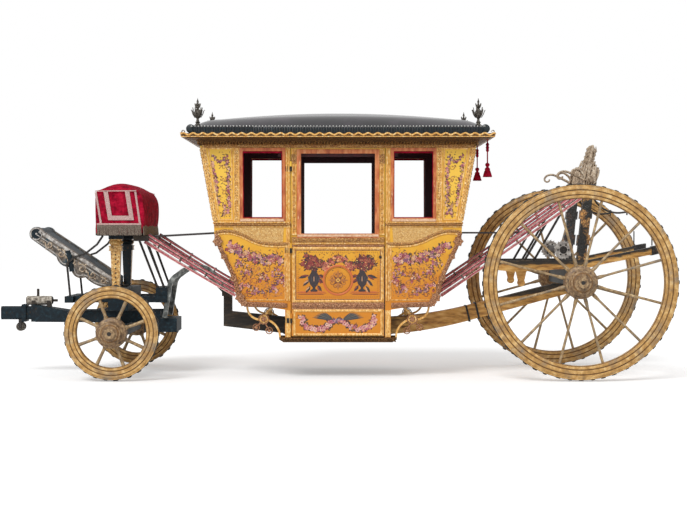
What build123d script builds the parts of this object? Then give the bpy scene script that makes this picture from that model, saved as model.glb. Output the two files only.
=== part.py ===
from build123d import *
from math import cos, radians, sin, tan
import os

os.makedirs("parts", exist_ok=True)

# State coach: a carved and gilded body slung on leather straps between a small
# steered fore-carriage and a tall rear carriage. Millimetres, Z up, front towards -X,
# left side towards -Y. The floor is Z = 0 and X = 0 is the middle of the whole length.

# Driving sizes of the running gear
rear_radius = 900.0  # over the nail heads of the rear tyres
front_radius = 440.0  # over the nail heads of the front tyres
wheelbase = 4260.0
pole_reach = 1186.0  # pole head ahead of the front axle
half_track = 910.0  # middle of a rim from the centre plane
fit = 0.4  # clearance of a turning fit
seat_gap = 0.3  # clearance under a seated piece
seam = 6.0  # open joint round a door

overall_length = pole_reach + wheelbase + rear_radius
front_x = pole_reach - overall_length / 2
rear_x = front_x + wheelbase
cabin_x = front_x + 2057.0

# Wheels
tyre_thickness = 16.0
tyre_width = 62.0
nail_height = 12.0
nail_size = 34.0
felloe_width = 74.0
arm_radius = 34.0
hub_middle = 110.0  # length of the hub's thick middle, which holds the spokes
hub_inner = 150.0  # hub length inboard of the rim
hub_outer = 140.0  # hub length outboard of the rim
nose_share = 0.78  # width of a hub's nose, as a share of its middle
nose_taper = 21.0
arm_nut_length = 22.0
arm_nut_radius = 52.0

# Front running gear
front_bed_width = 120.0
front_bed_depth = 113.0
futchell_bottom = 493.0
futchell_top = 607.0
futchell_front_top = 655.0
futchell_thickness = 74.0
plate_thickness = 15.0
plate_outer = 260.0
plate_inner = 180.0
kingpin_radius = 22.0
kingpin_head = 40.0
bolster_top = 830.0
bolster_half_width = 95.0
bolster_half_length = 480.0
platform_y = 250.0  # middle of each platform side bar
stay_bar_half = 370.0  # half length of the platform's front bar

# Perch and crane necks
perch_half_width = 70.0
neck_y = 250.0
neck_thickness = 43.0
neck_width = 50.0
crossbar_half_length = 290.0

# Cabin
top_z = 2146.0  # underside of the cornice
half_width_top = 760.0
side_slope = radians(4.5)
wall = 45.0
door_half = 430.0
door_bottom = 392.0
door_head = 21.0  # from the cornice down to the top of a door
window_head = 46.0  # from the cornice down to the top of a side window
door_window_head = 68.0
well_half = 490.0
well_bottom = 379.0
sill_z = 638.0
corner_x = 873.0
corner_z = 700.0
window_bottom = 1484.0
window_near = 510.0  # edge beside the door
window_far = 875.0
door_window_half = 340.0
door_window_bottom = 1339.0
step_half = 545.0
step_bottom = 334.0
well_inner_y = 320.0
door_top = top_z - door_head
window_top = top_z - window_head
door_window_top = top_z - door_window_head

# Roof
cornice_half_length = 1421.0
cornice_half_width = 940.0
cornice_height = 107.0
cornice_lip = 28.0
roof_band = 77.0  # upright edge of the roof above the cornice
roof_shoulder_width = 230.0
roof_shoulder_rise = 102.0
roof_crown_rise = 58.0
roof_thickness = 45.0
cornice_top = top_z + cornice_height
roof_band_top = cornice_top + roof_band
roof_shoulder = roof_band_top + roof_shoulder_rise
roof_crown = roof_shoulder + roof_crown_rise


def side_view(y=0.0):
    """Plane seen from the left side, with local x = X from the cabin's middle and local y = Z."""
    return Plane(origin=(cabin_x, y, 0), x_dir=(1, 0, 0), z_dir=(0, -1, 0))


def side_y(z):
    """Outer half width of the cabin's sloping side at height z."""
    return half_width_top - (top_z - z) * tan(side_slope)


def cross_view(x, z):
    """Plane square to X, with local x = Y and local y = Z."""
    return Plane(origin=(x, 0, z), x_dir=(0, 1, 0), z_dir=(1, 0, 0))


def axle_view(x, y, z, outward=1):
    """Plane square to the axles, with local x = X, facing outward."""
    return Plane(origin=(x, y, z), x_dir=(1, 0, 0), z_dir=(0, outward, 0))


def write(piece, name):
    piece.part.label = name
    export_step(piece.part, f"parts/{name}.step")


# Wheels, each a felloe ring, spokes and a turned hub, and an iron tyre with nail heads.
# Columns: name, axle x, radius, spokes, first spoke degrees, felloe depth, hub radius, nails.
wheel_table = [
    ("front", front_x, front_radius, 8, 20.0, 96.0, 140.0, 12),
    ("rear", rear_x, rear_radius, 12, 15.5, 112.0, 152.0, 24),
]
for end, axle_x, radius, spokes, phase, felloe_depth, hub_radius, nails in wheel_table:
    tyre_outer = radius - nail_height
    tyre_inner = tyre_outer - tyre_thickness
    felloe_outer = tyre_inner - seat_gap
    felloe_inner = felloe_outer - felloe_depth
    axle_line = Axis((axle_x, 0, radius), (0, 1, 0))
    wheel_section = cross_view(axle_x, radius)
    for side_name, side in (("left", -1), ("right", 1)):
        with BuildPart() as wheel:
            with BuildSketch(wheel_section):
                with Locations((side * half_track, (felloe_outer + felloe_inner) / 2)):
                    Rectangle(felloe_width, felloe_depth)
                with Locations((side * half_track, hub_radius / 2)):
                    Rectangle(hub_middle, hub_radius)
            revolve(axis=axle_line)
            # Hub noses, cut with twelve flats, and the bore through all three
            for turn, length in ((1, hub_outer - hub_middle / 2), (-1, hub_inner - hub_middle / 2)):
                nose_y = side * (half_track + turn * hub_middle / 2)
                with BuildSketch(axle_view(axle_x, nose_y, radius, side * turn)):
                    RegularPolygon(hub_radius * nose_share, 12)
                extrude(amount=length, taper=nose_taper)
            with BuildSketch(axle_view(axle_x, side * half_track, radius)):
                Circle(arm_radius + fit)
            extrude(amount=hub_inner + 10, both=True, mode=Mode.SUBTRACT)
            for number in range(spokes):
                angle = radians(phase + number * 360 / spokes)
                spoke_dir = Vector(cos(angle), 0, sin(angle))
                foot = Vector(axle_x, side * half_track, radius) + spoke_dir * (hub_radius - 12)
                with BuildSketch(Plane(origin=foot, x_dir=(0, 1, 0), z_dir=spoke_dir)):
                    Rectangle(hub_radius * 0.34, hub_radius * 0.26)
            extrude(amount=felloe_inner - hub_radius + 24, taper=0.35)
        write(wheel, f"{end}_wheel_{side_name}")
        with BuildPart() as tyre:
            with BuildSketch(wheel_section):
                with Locations((side * half_track, (tyre_outer + tyre_inner) / 2)):
                    Rectangle(tyre_width, tyre_thickness)
            revolve(axis=axle_line)
            for number in range(nails):
                angle = radians(number * 360 / nails)
                nail_dir = Vector(cos(angle), 0, sin(angle))
                nail_foot = Vector(axle_x, side * half_track, radius) + nail_dir * (tyre_outer - 3)
                with BuildSketch(Plane(origin=nail_foot, x_dir=(0, 1, 0), z_dir=nail_dir)):
                    Rectangle(nail_size, nail_size)
            extrude(amount=nail_height + 3, taper=12)
        write(tyre, f"{end}_tyre_{side_name}")

# Axles, each a wooden bed with turned iron arms and a nut outside each hub.
# Columns: name, axle x, radius, bed width, bed bottom, bed top.
front_bed_bottom = futchell_bottom - front_bed_depth
rear_bed_bottom = 860.0
rear_bed_top = 1010.0
rear_bed_width = 130.0
axle_table = [
    ("front", front_x, front_radius, front_bed_width, front_bed_bottom, futchell_bottom),
    ("rear", rear_x, rear_radius, rear_bed_width, rear_bed_bottom, rear_bed_top),
]
bed_end = half_track - hub_inner - 3
for end, axle_x, radius, bed_width, bed_bottom, bed_top in axle_table:
    with BuildPart() as axle:
        with BuildSketch(axle_view(axle_x, 0, (bed_bottom + bed_top) / 2)):
            Rectangle(bed_width, bed_top - bed_bottom)
        extrude(amount=bed_end, both=True)
        with BuildSketch(axle_view(axle_x, 0, radius)):
            Circle(arm_radius)
        extrude(amount=half_track + hub_outer + 2, both=True)
        for side in (-1, 1):
            with BuildSketch(axle_view(axle_x, side * (half_track + hub_outer + 2), radius, side)):
                RegularPolygon(arm_nut_radius, 8)
            extrude(amount=arm_nut_length)
    write(axle, f"{end}_axle")

# Futchells: two bars that close towards the pole, with the sway block under their tails
sway_front = front_x + 214
sway_rear = front_x + 523
sway_bottom = 405.0
sway_top = 535.0
sway_half = 230.0
futchell_front = front_x - 851
futchell_rear = front_x + 367
with BuildPart() as futchells:
    with BuildSketch(Plane.XZ):
        with BuildLine():
            Polyline(
                (futchell_front, futchell_bottom),
                (futchell_rear, futchell_bottom),
                (futchell_rear, futchell_top),
                (front_x - 556, futchell_top),
                (futchell_front, futchell_front_top),
                close=True,
            )
        make_face()
    extrude(amount=sway_half, both=True)
    with BuildSketch(Plane.XY):
        with BuildLine():
            Polyline(
                (futchell_front, 12),
                (futchell_front, 12 + futchell_thickness),
                (futchell_rear, 140 + futchell_thickness),
                (futchell_rear, 140),
                close=True,
            )
        make_face()
        mirror(about=Plane.XZ)
    extrude(amount=futchell_front_top + 10, mode=Mode.INTERSECT)
    with BuildSketch(Plane.XY.offset(sway_bottom)):
        with Locations(((sway_front + sway_rear) / 2, 0)):
            Rectangle(sway_rear - sway_front, 2 * sway_half)
    extrude(amount=sway_top - sway_bottom)
write(futchells, "futchells")

# Pole head: the stub that takes the draught pole, with its two iron bands
pole_bottom = 515.0
pole_top = 641.0
pole_half = 60.0
pole_tip = front_x - pole_reach
band_rear = futchell_front
band_front = front_x - 983
band_wall = 20.0
band_length = 40.0
pole_middle = (pole_bottom + pole_top) / 2
with BuildPart() as pole_head:
    with BuildSketch(cross_view(pole_tip, pole_middle)):
        Rectangle(2 * pole_half, pole_top - pole_bottom)
        chamfer(vertices(), 18)
    extrude(amount=band_rear - pole_tip)
    for band_x in (band_front, band_rear - band_length):
        with BuildSketch(cross_view(band_x, pole_middle)):
            Rectangle(2 * (pole_half + band_wall), pole_top - pole_bottom + 2 * band_wall)
        extrude(amount=band_length)
write(pole_head, "pole_head")

# Turning plate and kingpin of the fore-carriage
with BuildPart() as turning_plate:
    with BuildSketch(Plane(origin=(front_x, 0, futchell_top))):
        Circle(plate_outer)
        Circle(plate_inner, mode=Mode.SUBTRACT)
    extrude(amount=plate_thickness)
write(turning_plate, "turning_plate")

with BuildPart() as kingpin:
    with BuildSketch(Plane(origin=(front_x, 0, futchell_bottom))):
        Circle(kingpin_radius)
    extrude(amount=bolster_top + 2 - futchell_bottom)
    with BuildSketch(Plane(origin=(front_x, 0, bolster_top + 2))):
        RegularPolygon(kingpin_head, 8)
    extrude(amount=20)
write(kingpin, "kingpin")

# Fore platform: the bolster that turns on the plate, and the bars that join it to the necks
bolster_bottom = futchell_top + plate_thickness + seat_gap
platform_front = front_x - 520
platform_rear = front_x + 440
bar_bottom = 690.0
with BuildPart() as fore_platform:
    with BuildSketch(Plane.XY.offset(bolster_bottom)):
        with Locations((front_x, 0)):
            Rectangle(2 * bolster_half_width, 2 * bolster_half_length)
    extrude(amount=bolster_top - bolster_bottom)
    with BuildSketch(Plane.XY.offset(bar_bottom)):
        with Locations(((platform_front + platform_rear) / 2, 0)):
            with Locations((0, -platform_y), (0, platform_y)):
                Rectangle(platform_rear - platform_front, 80)
        with Locations((platform_front + 40, 0)):
            Rectangle(80, 2 * stay_bar_half)
        with Locations((platform_rear - 55, 0)):
            Rectangle(110, 2 * platform_y + 120)
    extrude(amount=60)
    with BuildSketch(Plane.XY.offset(bar_bottom + 60)):
        with Locations((platform_rear - 55, 0)):
            Rectangle(110, 2 * platform_y + 80)
    extrude(amount=bolster_top - bar_bottom - 60)
    with BuildSketch(Plane.XY.offset(bolster_bottom)):
        with Locations((front_x, 0)):
            Circle(kingpin_radius + fit)
    extrude(amount=bolster_top - bolster_bottom, mode=Mode.SUBTRACT)
write(fore_platform, "fore_platform")

# Perch: one long beam that dips under the cabin, with a riser and a crossbar for the necks
riser_front = cabin_x - 1100
riser_rear = cabin_x - 1023
crossbar_top = 830.0
crossbar_bottom = 750.0
with BuildPart() as perch:
    with BuildSketch(side_view()):
        with BuildLine():
            Polyline((-1100, 830), (-1100, 453), (-532, 385), (502, 375))
            ThreePointArc((502, 375), (960, 437), (1377, 540))
            Line((1377, 540), (rear_x - cabin_x + 60, 780))
            Line((rear_x - cabin_x + 60, 780), (rear_x - cabin_x + 60, rear_bed_bottom))
            Line((rear_x - cabin_x + 60, rear_bed_bottom), (rear_x - cabin_x - 120, rear_bed_bottom))
            Line((rear_x - cabin_x - 120, rear_bed_bottom), (1377, 684))
            ThreePointArc((1377, 684), (960, 590), (502, 540))
            Polyline((502, 540), (-532, 540), (-1023, 592), (-1023, 830), (-1100, 830))
        make_face()
    extrude(amount=perch_half_width, both=True)
    with BuildSketch(Plane.XY.offset(crossbar_bottom)):
        with Locations(((riser_front + riser_rear) / 2, 0)):
            Rectangle(riser_rear - riser_front, 2 * crossbar_half_length)
    extrude(amount=crossbar_top - crossbar_bottom)
write(perch, "perch")

# Crane necks: two iron arches that let the front wheels swing under them
neck_foot_z = sway_top + 10
with BuildPart() as crane_necks:
    for side in (-1, 1):
        with BuildSketch(side_view(side * neck_y)):
            with BuildLine():
                FilletPolyline(
                    (-1646, neck_foot_z),
                    (-1588, 905),
                    (-1440, 1012),
                    (-1290, 1012),
                    (-1062, 780),
                    radius=(130, 150, 110),
                )
            trace(line_width=neck_thickness)
        extrude(amount=neck_width / 2, both=True)
    for low, high, base, top in (
        (platform_rear - 110, platform_rear, bar_bottom, bolster_top),
        (riser_front, riser_rear + 60, crossbar_bottom - 40, crossbar_top + 1),
    ):
        with BuildSketch(Plane.XY.offset(base)):
            with Locations(((low + high) / 2, 0)):
                Rectangle(high - low, 2 * crossbar_half_length + 40)
        extrude(amount=top - base, mode=Mode.SUBTRACT)
write(crane_necks, "crane_necks")

# Front standards: tapering posts with moulded capitals that carry the driver's seat
standard_x = front_x - 28
standard_y = 400.0
capital_bottom = 1180.0
seat_bottom = 1322.0
with BuildPart() as front_standards:
    for side in (-1, 1):
        for base, top, width, taper in (
            (bolster_top, capital_bottom, 66, -2.1),
            (capital_bottom, capital_bottom + 45, 112, 0),
            (capital_bottom + 45, seat_bottom - 37, 92, 0),
            (seat_bottom - 37, seat_bottom, 120, 0),
        ):
            with BuildSketch(Plane(origin=(standard_x, side * standard_y, base))):
                Rectangle(width, width)
            extrude(amount=top - base, taper=taper)
write(front_standards, "front_standards")

# Seat frame under the hammercloth, with the strap bar behind it
seat_front = front_x - 178
seat_rear = front_x + 227
seat_half = 600.0
seat_top = 1390.0
strap_bar_rear = front_x + 289
strap_bar_bottom = 1272.0
with BuildPart() as seat_frame:
    with BuildSketch(Plane.XY.offset(seat_bottom)):
        with Locations(((seat_front + seat_rear) / 2, 0)):
            Rectangle(seat_rear - seat_front, 2 * seat_half)
    extrude(amount=seat_top - seat_bottom)
    with BuildSketch(Plane.XY.offset(strap_bar_bottom)):
        with Locations((strap_bar_rear - 70, 0)):
            Rectangle(140, 1060)
    extrude(amount=seat_bottom - strap_bar_bottom)
write(seat_frame, "seat_frame")

# Hammercloth and its padded seat, one closed soft solid that fits over the seat frame
cloth_wall = 15.0
cushion_edge = seat_top + 359
cushion_crown = cushion_edge + 74
with BuildPart() as hammercloth:
    with BuildSketch(Plane.XZ):
        with BuildLine():
            Line((seat_front - cloth_wall, seat_bottom), (seat_front - cloth_wall, cushion_edge))
            ThreePointArc(
                (seat_front - cloth_wall, cushion_edge),
                ((seat_front + seat_rear) / 2, cushion_crown),
                (seat_rear + cloth_wall, cushion_edge),
            )
            Line((seat_rear + cloth_wall, cushion_edge), (seat_rear + cloth_wall, seat_bottom))
            Line((seat_rear + cloth_wall, seat_bottom), (seat_front - cloth_wall, seat_bottom))
        make_face()
    extrude(amount=seat_half + cloth_wall, both=True)
    with BuildSketch(Plane.XY.offset(seat_bottom)):
        with Locations(((seat_front + seat_rear) / 2, 0)):
            Rectangle(seat_rear - seat_front + 2 * seat_gap, 2 * (seat_half + seat_gap))
    extrude(amount=seat_top - seat_bottom + seat_gap, mode=Mode.SUBTRACT)
write(hammercloth, "hammercloth")

# Iron stays from the strap bar down to the fore platform, each a straight six-sided bar
stay_radius = 11.0
stay_y = 250.0
with BuildPart() as seat_stays:
    for side in (-1, 1):
        for top_x, foot_x in ((170, 352), (240, 412)):
            start = Vector(front_x + top_x, side * stay_y, strap_bar_bottom + 10)
            finish = Vector(front_x + foot_x, side * stay_y, bolster_top - 20)
            with BuildSketch(Plane(origin=start, z_dir=finish - start)):
                RegularPolygon(stay_radius, 6)
            extrude(amount=(finish - start).length)
    add(fore_platform.part, mode=Mode.SUBTRACT)
    add(seat_frame.part, mode=Mode.SUBTRACT)
write(seat_stays, "seat_stays")

# Footboard: a sloping board with a rolled top edge, between two carved cheeks
board_half = 270.0
cheek_thickness = 60.0
roll_x = front_x - 790
roll_z = 1339.0
roll_radius = 58.0
board_foot_x = front_x - 62
with BuildPart() as footboard:
    with BuildSketch(Plane.XZ):
        with BuildLine():
            Polyline(
                (roll_x - 10, roll_z - 30),
                (roll_x + 20, roll_z + 40),
                (board_foot_x, bolster_top + 75),
                (board_foot_x, bolster_top),
                (board_foot_x - 30, bolster_top),
                close=True,
            )
        make_face()
        with Locations((roll_x, roll_z)):
            Circle(roll_radius)
    extrude(amount=board_half, both=True)
write(footboard, "footboard")

with BuildPart() as footboard_cheeks:
    for side in (-1, 1):
        with BuildSketch(Plane.XZ.offset(-side * (board_half + seat_gap + cheek_thickness / 2))):
            with BuildLine():
                Polyline(
                    (roll_x - 30, roll_z - 60),
                    (roll_x + 35, roll_z + 45),
                    (board_foot_x, bolster_top + 95),
                    (board_foot_x, bolster_top),
                    (front_x - 96, bolster_top),
                )
                ThreePointArc((front_x - 96, bolster_top), (front_x - 240, 862), (front_x - 330, 930))
                ThreePointArc((front_x - 330, 930), (front_x - 420, 935), (front_x - 460, 1030))
                ThreePointArc((front_x - 460, 1030), (front_x - 550, 1045), (front_x - 600, 1120))
                Line((front_x - 600, 1120), (roll_x - 30, roll_z - 60))
            make_face()
            with Locations((roll_x, roll_z)):
                Circle(roll_radius + 8)
        extrude(amount=cheek_thickness / 2, both=True)
write(footboard_cheeks, "footboard_cheeks")

# Outline of the cabin's ends, seen from the side, from the sill round one end to the cornice
waist = (1140.0, 1431.0)
top_corner_x = 1266.0
end_slope = (top_corner_x - waist[0]) / (top_z - waist[1])


def cabin_outline(top=top_z, shrink=0.0):
    """Face of the whole cabin from the side, up to the height top, pulled in by shrink."""
    top_x = top_corner_x + (top - top_z) * end_slope
    with BuildSketch(Plane.XY) as face:
        with BuildLine():
            Line((0, sill_z), (well_half, sill_z))
            Line((well_half, sill_z), (corner_x, corner_z))
            ThreePointArc((corner_x, corner_z), (935, 768), (955, 868))
            ThreePointArc((955, 868), (1012, 1055), (1102, 1218))
            ThreePointArc((1102, 1218), (1134, 1320), waist)
            Polyline(waist, (top_x, top), (0, top), (0, sill_z))
        make_face()
        mirror(about=Plane.YZ)
        if shrink:
            offset(amount=-shrink)
    return face.sketch


def side_slab(side, outer, inner, low, high):
    """Section of a sloping side slab between two distances inside the cabin's outer face."""
    return Polygon(
        (side * (side_y(low) - outer), low),
        (side * (side_y(high) - outer), high),
        (side * (side_y(high) - inner), high),
        (side * (side_y(low) - inner), low),
        align=None,
        mode=Mode.PRIVATE,
    )


outer_face = cabin_outline()
inner_face = cabin_outline(top_z + 2 * wall, wall)
floor_half = 800.0
slab_low = step_bottom - 34
slab_high = top_z + 254

# Side panels: one ahead of each door and one behind it, each a lower board and, above the
# seam at the waist, a frame with the window cut
for side_name, side in (("left", -1), ("right", 1)):
    for end_name, end in (("front", -1), ("rear", 1)):
        with BuildPart() as panel:
            with BuildSketch(side_view()):
                add(outer_face)
                with Locations((end * (door_half + seam + 600), top_z / 2)):
                    Rectangle(1200, top_z, mode=Mode.INTERSECT)
                with Locations((end * (window_near + window_far) / 2, (window_bottom + window_top) / 2)):
                    Rectangle(window_far - window_near, window_top - window_bottom, mode=Mode.SUBTRACT)
                with Locations((0, waist[1])):
                    Rectangle(3000, seat_gap, mode=Mode.SUBTRACT)
            extrude(amount=1000, both=True)
            with BuildSketch(Plane.YZ):
                add(side_slab(side, 0, wall, slab_low, slab_high))
            extrude(amount=2000, both=True, mode=Mode.INTERSECT)
        write(panel, f"side_panel_{end_name}_{side_name}")

# End walls, between the side panels
for end_name, end in (("front", -1), ("rear", 1)):
    with BuildPart() as end_wall:
        with BuildSketch(side_view()):
            add(outer_face)
            add(inner_face, mode=Mode.SUBTRACT)
            with Locations((end * (floor_half + 300), top_z / 2)):
                Rectangle(600, top_z, mode=Mode.INTERSECT)
        extrude(amount=1000, both=True)
        with BuildSketch(Plane.YZ):
            with BuildLine():
                Polyline(
                    (side_y(slab_low) - wall, slab_low),
                    (side_y(slab_high) - wall, slab_high),
                    (-side_y(slab_high) + wall, slab_high),
                    (-side_y(slab_low) + wall, slab_low),
                    close=True,
                )
            make_face()
        extrude(amount=2000, both=True, mode=Mode.INTERSECT)
    write(end_wall, f"end_wall_{end_name}")

# Cabin floor between the end walls, notched over both step wells
with BuildPart() as cabin_floor:
    with BuildSketch(side_view()):
        add(outer_face)
        add(inner_face, mode=Mode.SUBTRACT)
        with Locations((0, sill_z)):
            Rectangle(2 * floor_half, 400, mode=Mode.INTERSECT)
    extrude(amount=1000, both=True)
    with BuildSketch(Plane.YZ):
        add(side_slab(1, wall, 2 * side_y(slab_low) - wall, slab_low, slab_high))
    extrude(amount=2000, both=True, mode=Mode.INTERSECT)
    with BuildSketch(Plane.XY.offset(sill_z - 10)):
        for side in (-1, 1):
            with Locations((cabin_x, side * (well_inner_y + 300))):
                Rectangle(2 * (door_half + seam), 600)
    extrude(amount=200, mode=Mode.SUBTRACT)
write(cabin_floor, "cabin_floor")

# Step wells under the doors: two ends and an inner wall, open above, outside and below,
# each closed by a carved step base that is wider than the well
with BuildPart() as step_wells:
    for side in (-1, 1):
        with BuildSketch(Plane.YZ):
            with BuildLine():
                Polyline(
                    (side * well_inner_y, well_bottom),
                    (side * side_y(well_bottom), well_bottom),
                    (side * side_y(sill_z + wall), sill_z + wall),
                    (side * well_inner_y, sill_z + wall),
                    close=True,
                )
            make_face()
    extrude(amount=2000, both=True)
    with BuildSketch(side_view()):
        with Locations((0, (well_bottom + sill_z) / 2)):
            Rectangle(2 * well_half, sill_z - well_bottom)
        with Locations((0, sill_z + wall / 2)):
            Rectangle(2 * (door_half + seam), wall)
    extrude(amount=1000, both=True, mode=Mode.INTERSECT)
    with BuildSketch(Plane.XY.offset(well_bottom)):
        for side in (-1, 1):
            with Locations((cabin_x, side * (well_inner_y + wall / 2 + 500))):
                Rectangle(2 * (door_half + seam), 1000)
    extrude(amount=500, mode=Mode.SUBTRACT)
write(step_wells, "step_wells")

step_middle_y = (well_inner_y + side_y(step_bottom)) / 2
step_depth = side_y(step_bottom) - well_inner_y
with BuildPart() as step_bases:
    for side in (-1, 1):
        for height, length, out in ((step_bottom, step_half - 40, 0), (well_bottom - 18, step_half, 16)):
            with BuildSketch(Plane(origin=(cabin_x, side * step_middle_y, height))):
                Rectangle(2 * length, step_depth + 2 * out)
        loft()
        with BuildSketch(Plane(origin=(cabin_x, side * step_middle_y, well_bottom - 18))):
            Rectangle(2 * step_half, step_depth + 32)
        extrude(amount=18)
write(step_bases, "step_bases")

# Doors, flat and following the slope of the side, hung on their front edge.
# The hinge line lies just outside the sloping face, so it leans out with it.
hinge_radius = 10.0
hinge_out = 12.0
hinge_x = -(door_half + seam / 2)
hinge_heights = (door_bottom + 168, 1210.0, door_top - 165)
leaf_length = 60.0
leaf_thickness = 5.0
knuckle = 45.0
for side_name, side in (("left", -1), ("right", 1)):
    lean = Vector(0, side * sin(side_slope), cos(side_slope))
    outward = Vector(0, side * cos(side_slope), -sin(side_slope))
    with BuildPart() as door:
        with BuildSketch(side_view()):
            with Locations((0, (door_bottom + door_top) / 2)):
                Rectangle(2 * door_half, door_top - door_bottom)
            with Locations((0, (door_window_bottom + door_window_top) / 2)):
                Rectangle(2 * door_window_half, door_window_top - door_window_bottom, mode=Mode.SUBTRACT)
        extrude(amount=1000, both=True)
        with BuildSketch(Plane.YZ):
            add(side_slab(side, 0, wall, slab_low, slab_high))
        extrude(amount=2000, both=True, mode=Mode.INTERSECT)
        for height in hinge_heights:
            face_point = Vector(cabin_x + hinge_x, side * side_y(height), height)
            hinge_foot = face_point + outward * hinge_out + lean * (seat_gap / 2)
            with BuildSketch(Plane(origin=hinge_foot, x_dir=(1, 0, 0), z_dir=lean)):
                Circle(hinge_radius)
                with Locations((leaf_length / 2, -side * (hinge_out - leaf_thickness / 2 + 1))):
                    Rectangle(leaf_length, leaf_thickness + 2)
            extrude(amount=knuckle)
    write(door, f"door_{side_name}")

with BuildPart() as door_hinges:
    for side in (-1, 1):
        lean = Vector(0, side * sin(side_slope), cos(side_slope))
        outward = Vector(0, side * cos(side_slope), -sin(side_slope))
        for height in hinge_heights:
            face_point = Vector(cabin_x + hinge_x, side * side_y(height), height)
            hinge_foot = face_point + outward * hinge_out - lean * (seat_gap / 2)
            with BuildSketch(Plane(origin=hinge_foot, x_dir=(1, 0, 0), z_dir=-lean)):
                Circle(hinge_radius)
                with Locations((-leaf_length / 2, side * (hinge_out - seat_gap - leaf_thickness / 2))):
                    Rectangle(leaf_length, leaf_thickness)
            extrude(amount=knuckle)
write(door_hinges, "door_hinges")

# Benches inside, each a board on a riser with a cushion
bench_top = 1080.0
bench_face_x = 560.0
bench_board = 30.0
cushion_height = 90.0
bench_half_width = side_y(sill_z) - wall - 20
with BuildPart() as benches:
    with BuildSketch(side_view()):
        with BuildLine():
            Polyline(
                (bench_face_x, sill_z),
                (bench_face_x, bench_top),
                (corner_x + 200, bench_top),
                (corner_x + 200, bench_top - bench_board),
                (bench_face_x + bench_board, bench_top - bench_board),
                (bench_face_x + bench_board, sill_z),
                close=True,
            )
        make_face()
        mirror(about=Plane.YZ)
    extrude(amount=bench_half_width, both=True)
    with BuildSketch(side_view()):
        add(inner_face, mode=Mode.ADD)
    extrude(amount=1000, both=True, mode=Mode.INTERSECT)
write(benches, "benches")

with BuildPart() as bench_cushions:
    for end in (-1, 1):
        with BuildSketch(Plane.XY.offset(bench_top + seat_gap)):
            with Locations((cabin_x + end * (bench_face_x + 180), 0)):
                Rectangle(360, 2 * bench_half_width)
        extrude(amount=cushion_height)
write(bench_cushions, "bench_cushions")

# Cornice, a coved frame that spreads from the body top to the roof's edge
head_opening = (2 * (top_corner_x - wall - 5), 2 * (half_width_top - wall - 5))
lip_bottom = cornice_top - cornice_lip
with BuildPart() as cornice:
    for height, length, width in (
        (top_z, top_corner_x, half_width_top),
        (lip_bottom, cornice_half_length - 20, cornice_half_width - 20),
    ):
        with BuildSketch(Plane(origin=(cabin_x, 0, height))):
            Rectangle(2 * length, 2 * width)
    loft()
    with BuildSketch(Plane(origin=(cabin_x, 0, lip_bottom))):
        Rectangle(2 * cornice_half_length, 2 * cornice_half_width)
    extrude(amount=cornice_lip)
    with BuildSketch(Plane(origin=(cabin_x, 0, top_z))):
        Rectangle(*head_opening)
    extrude(amount=cornice_height, mode=Mode.SUBTRACT)
write(cornice, "cornice")

ceiling_thickness = 20.0
with BuildPart() as ceiling:
    with BuildSketch(Plane(origin=(cabin_x, 0, cornice_top - 2 * ceiling_thickness))):
        Rectangle(*head_opening)
    extrude(amount=ceiling_thickness)
write(ceiling, "ceiling")


def dome(half, shrink):
    """Cross section of the roof: upright edge band, quick shoulder, then a low arch."""
    edge = half - shrink
    shoulder = edge - roof_shoulder_width
    shoulder_z = roof_shoulder - shrink
    with BuildSketch(Plane.XY) as section:
        with BuildLine():
            Polyline((-edge, roof_band_top - shrink), (-edge, cornice_top), (edge, cornice_top))
            Line((edge, cornice_top), (edge, roof_band_top - shrink))
            for turn in (-1, 1):
                ThreePointArc(
                    (turn * edge, roof_band_top - shrink),
                    (turn * (edge - roof_shoulder_width * 0.4), shoulder_z - roof_shoulder_rise / 3),
                    (turn * shoulder, shoulder_z),
                )
            ThreePointArc((shoulder, shoulder_z), (0, roof_crown - shrink), (-shoulder, shoulder_z))
        make_face()
    return section.sketch


roof_inset = 40.0
with BuildPart() as roof:
    with BuildSketch(side_view()):
        add(dome(cornice_half_length - roof_inset, 0))
    extrude(amount=1000, both=True)
    with BuildSketch(Plane.YZ):
        add(dome(cornice_half_width - roof_inset, 0))
    extrude(amount=2000, both=True, mode=Mode.INTERSECT)
with BuildPart() as roof_hollow:
    with BuildSketch(side_view()):
        add(dome(cornice_half_length - roof_inset, roof_thickness))
    extrude(amount=1000, both=True)
    with BuildSketch(Plane.YZ):
        add(dome(cornice_half_width - roof_inset, roof_thickness))
    extrude(amount=2000, both=True, mode=Mode.INTERSECT)
with BuildPart() as roof_shell:
    add(roof.part)
    add(roof_hollow.part, mode=Mode.SUBTRACT)
write(roof_shell, "roof")

# Finials on the four corners of the roof's edge
finial_x = 1278.0
finial_y = 840.0
finial_sink = 30.0  # foot below the top of the roof's edge band
# Columns: bottom and top above the foot, radius at the bottom, taper in degrees.
finial_table = [
    (0, 45, 42, 0),
    (45, 72, 17, 0),
    (72, 125, 15, -31),
    (125, 195, 47, 27),
    (195, 280, 20, 12),
]
with BuildPart() as roof_finials:
    for end in (-1, 1):
        for side in (-1, 1):
            foot = Vector(cabin_x + end * finial_x, side * finial_y, roof_band_top - finial_sink)
            for low, high, radius, taper in finial_table:
                with BuildSketch(Plane(origin=foot + Vector(0, 0, low))):
                    RegularPolygon(radius, 8)
                extrude(amount=high - low, taper=taper)
    add(roof.part, mode=Mode.SUBTRACT)
write(roof_finials, "roof_finials")

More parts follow.
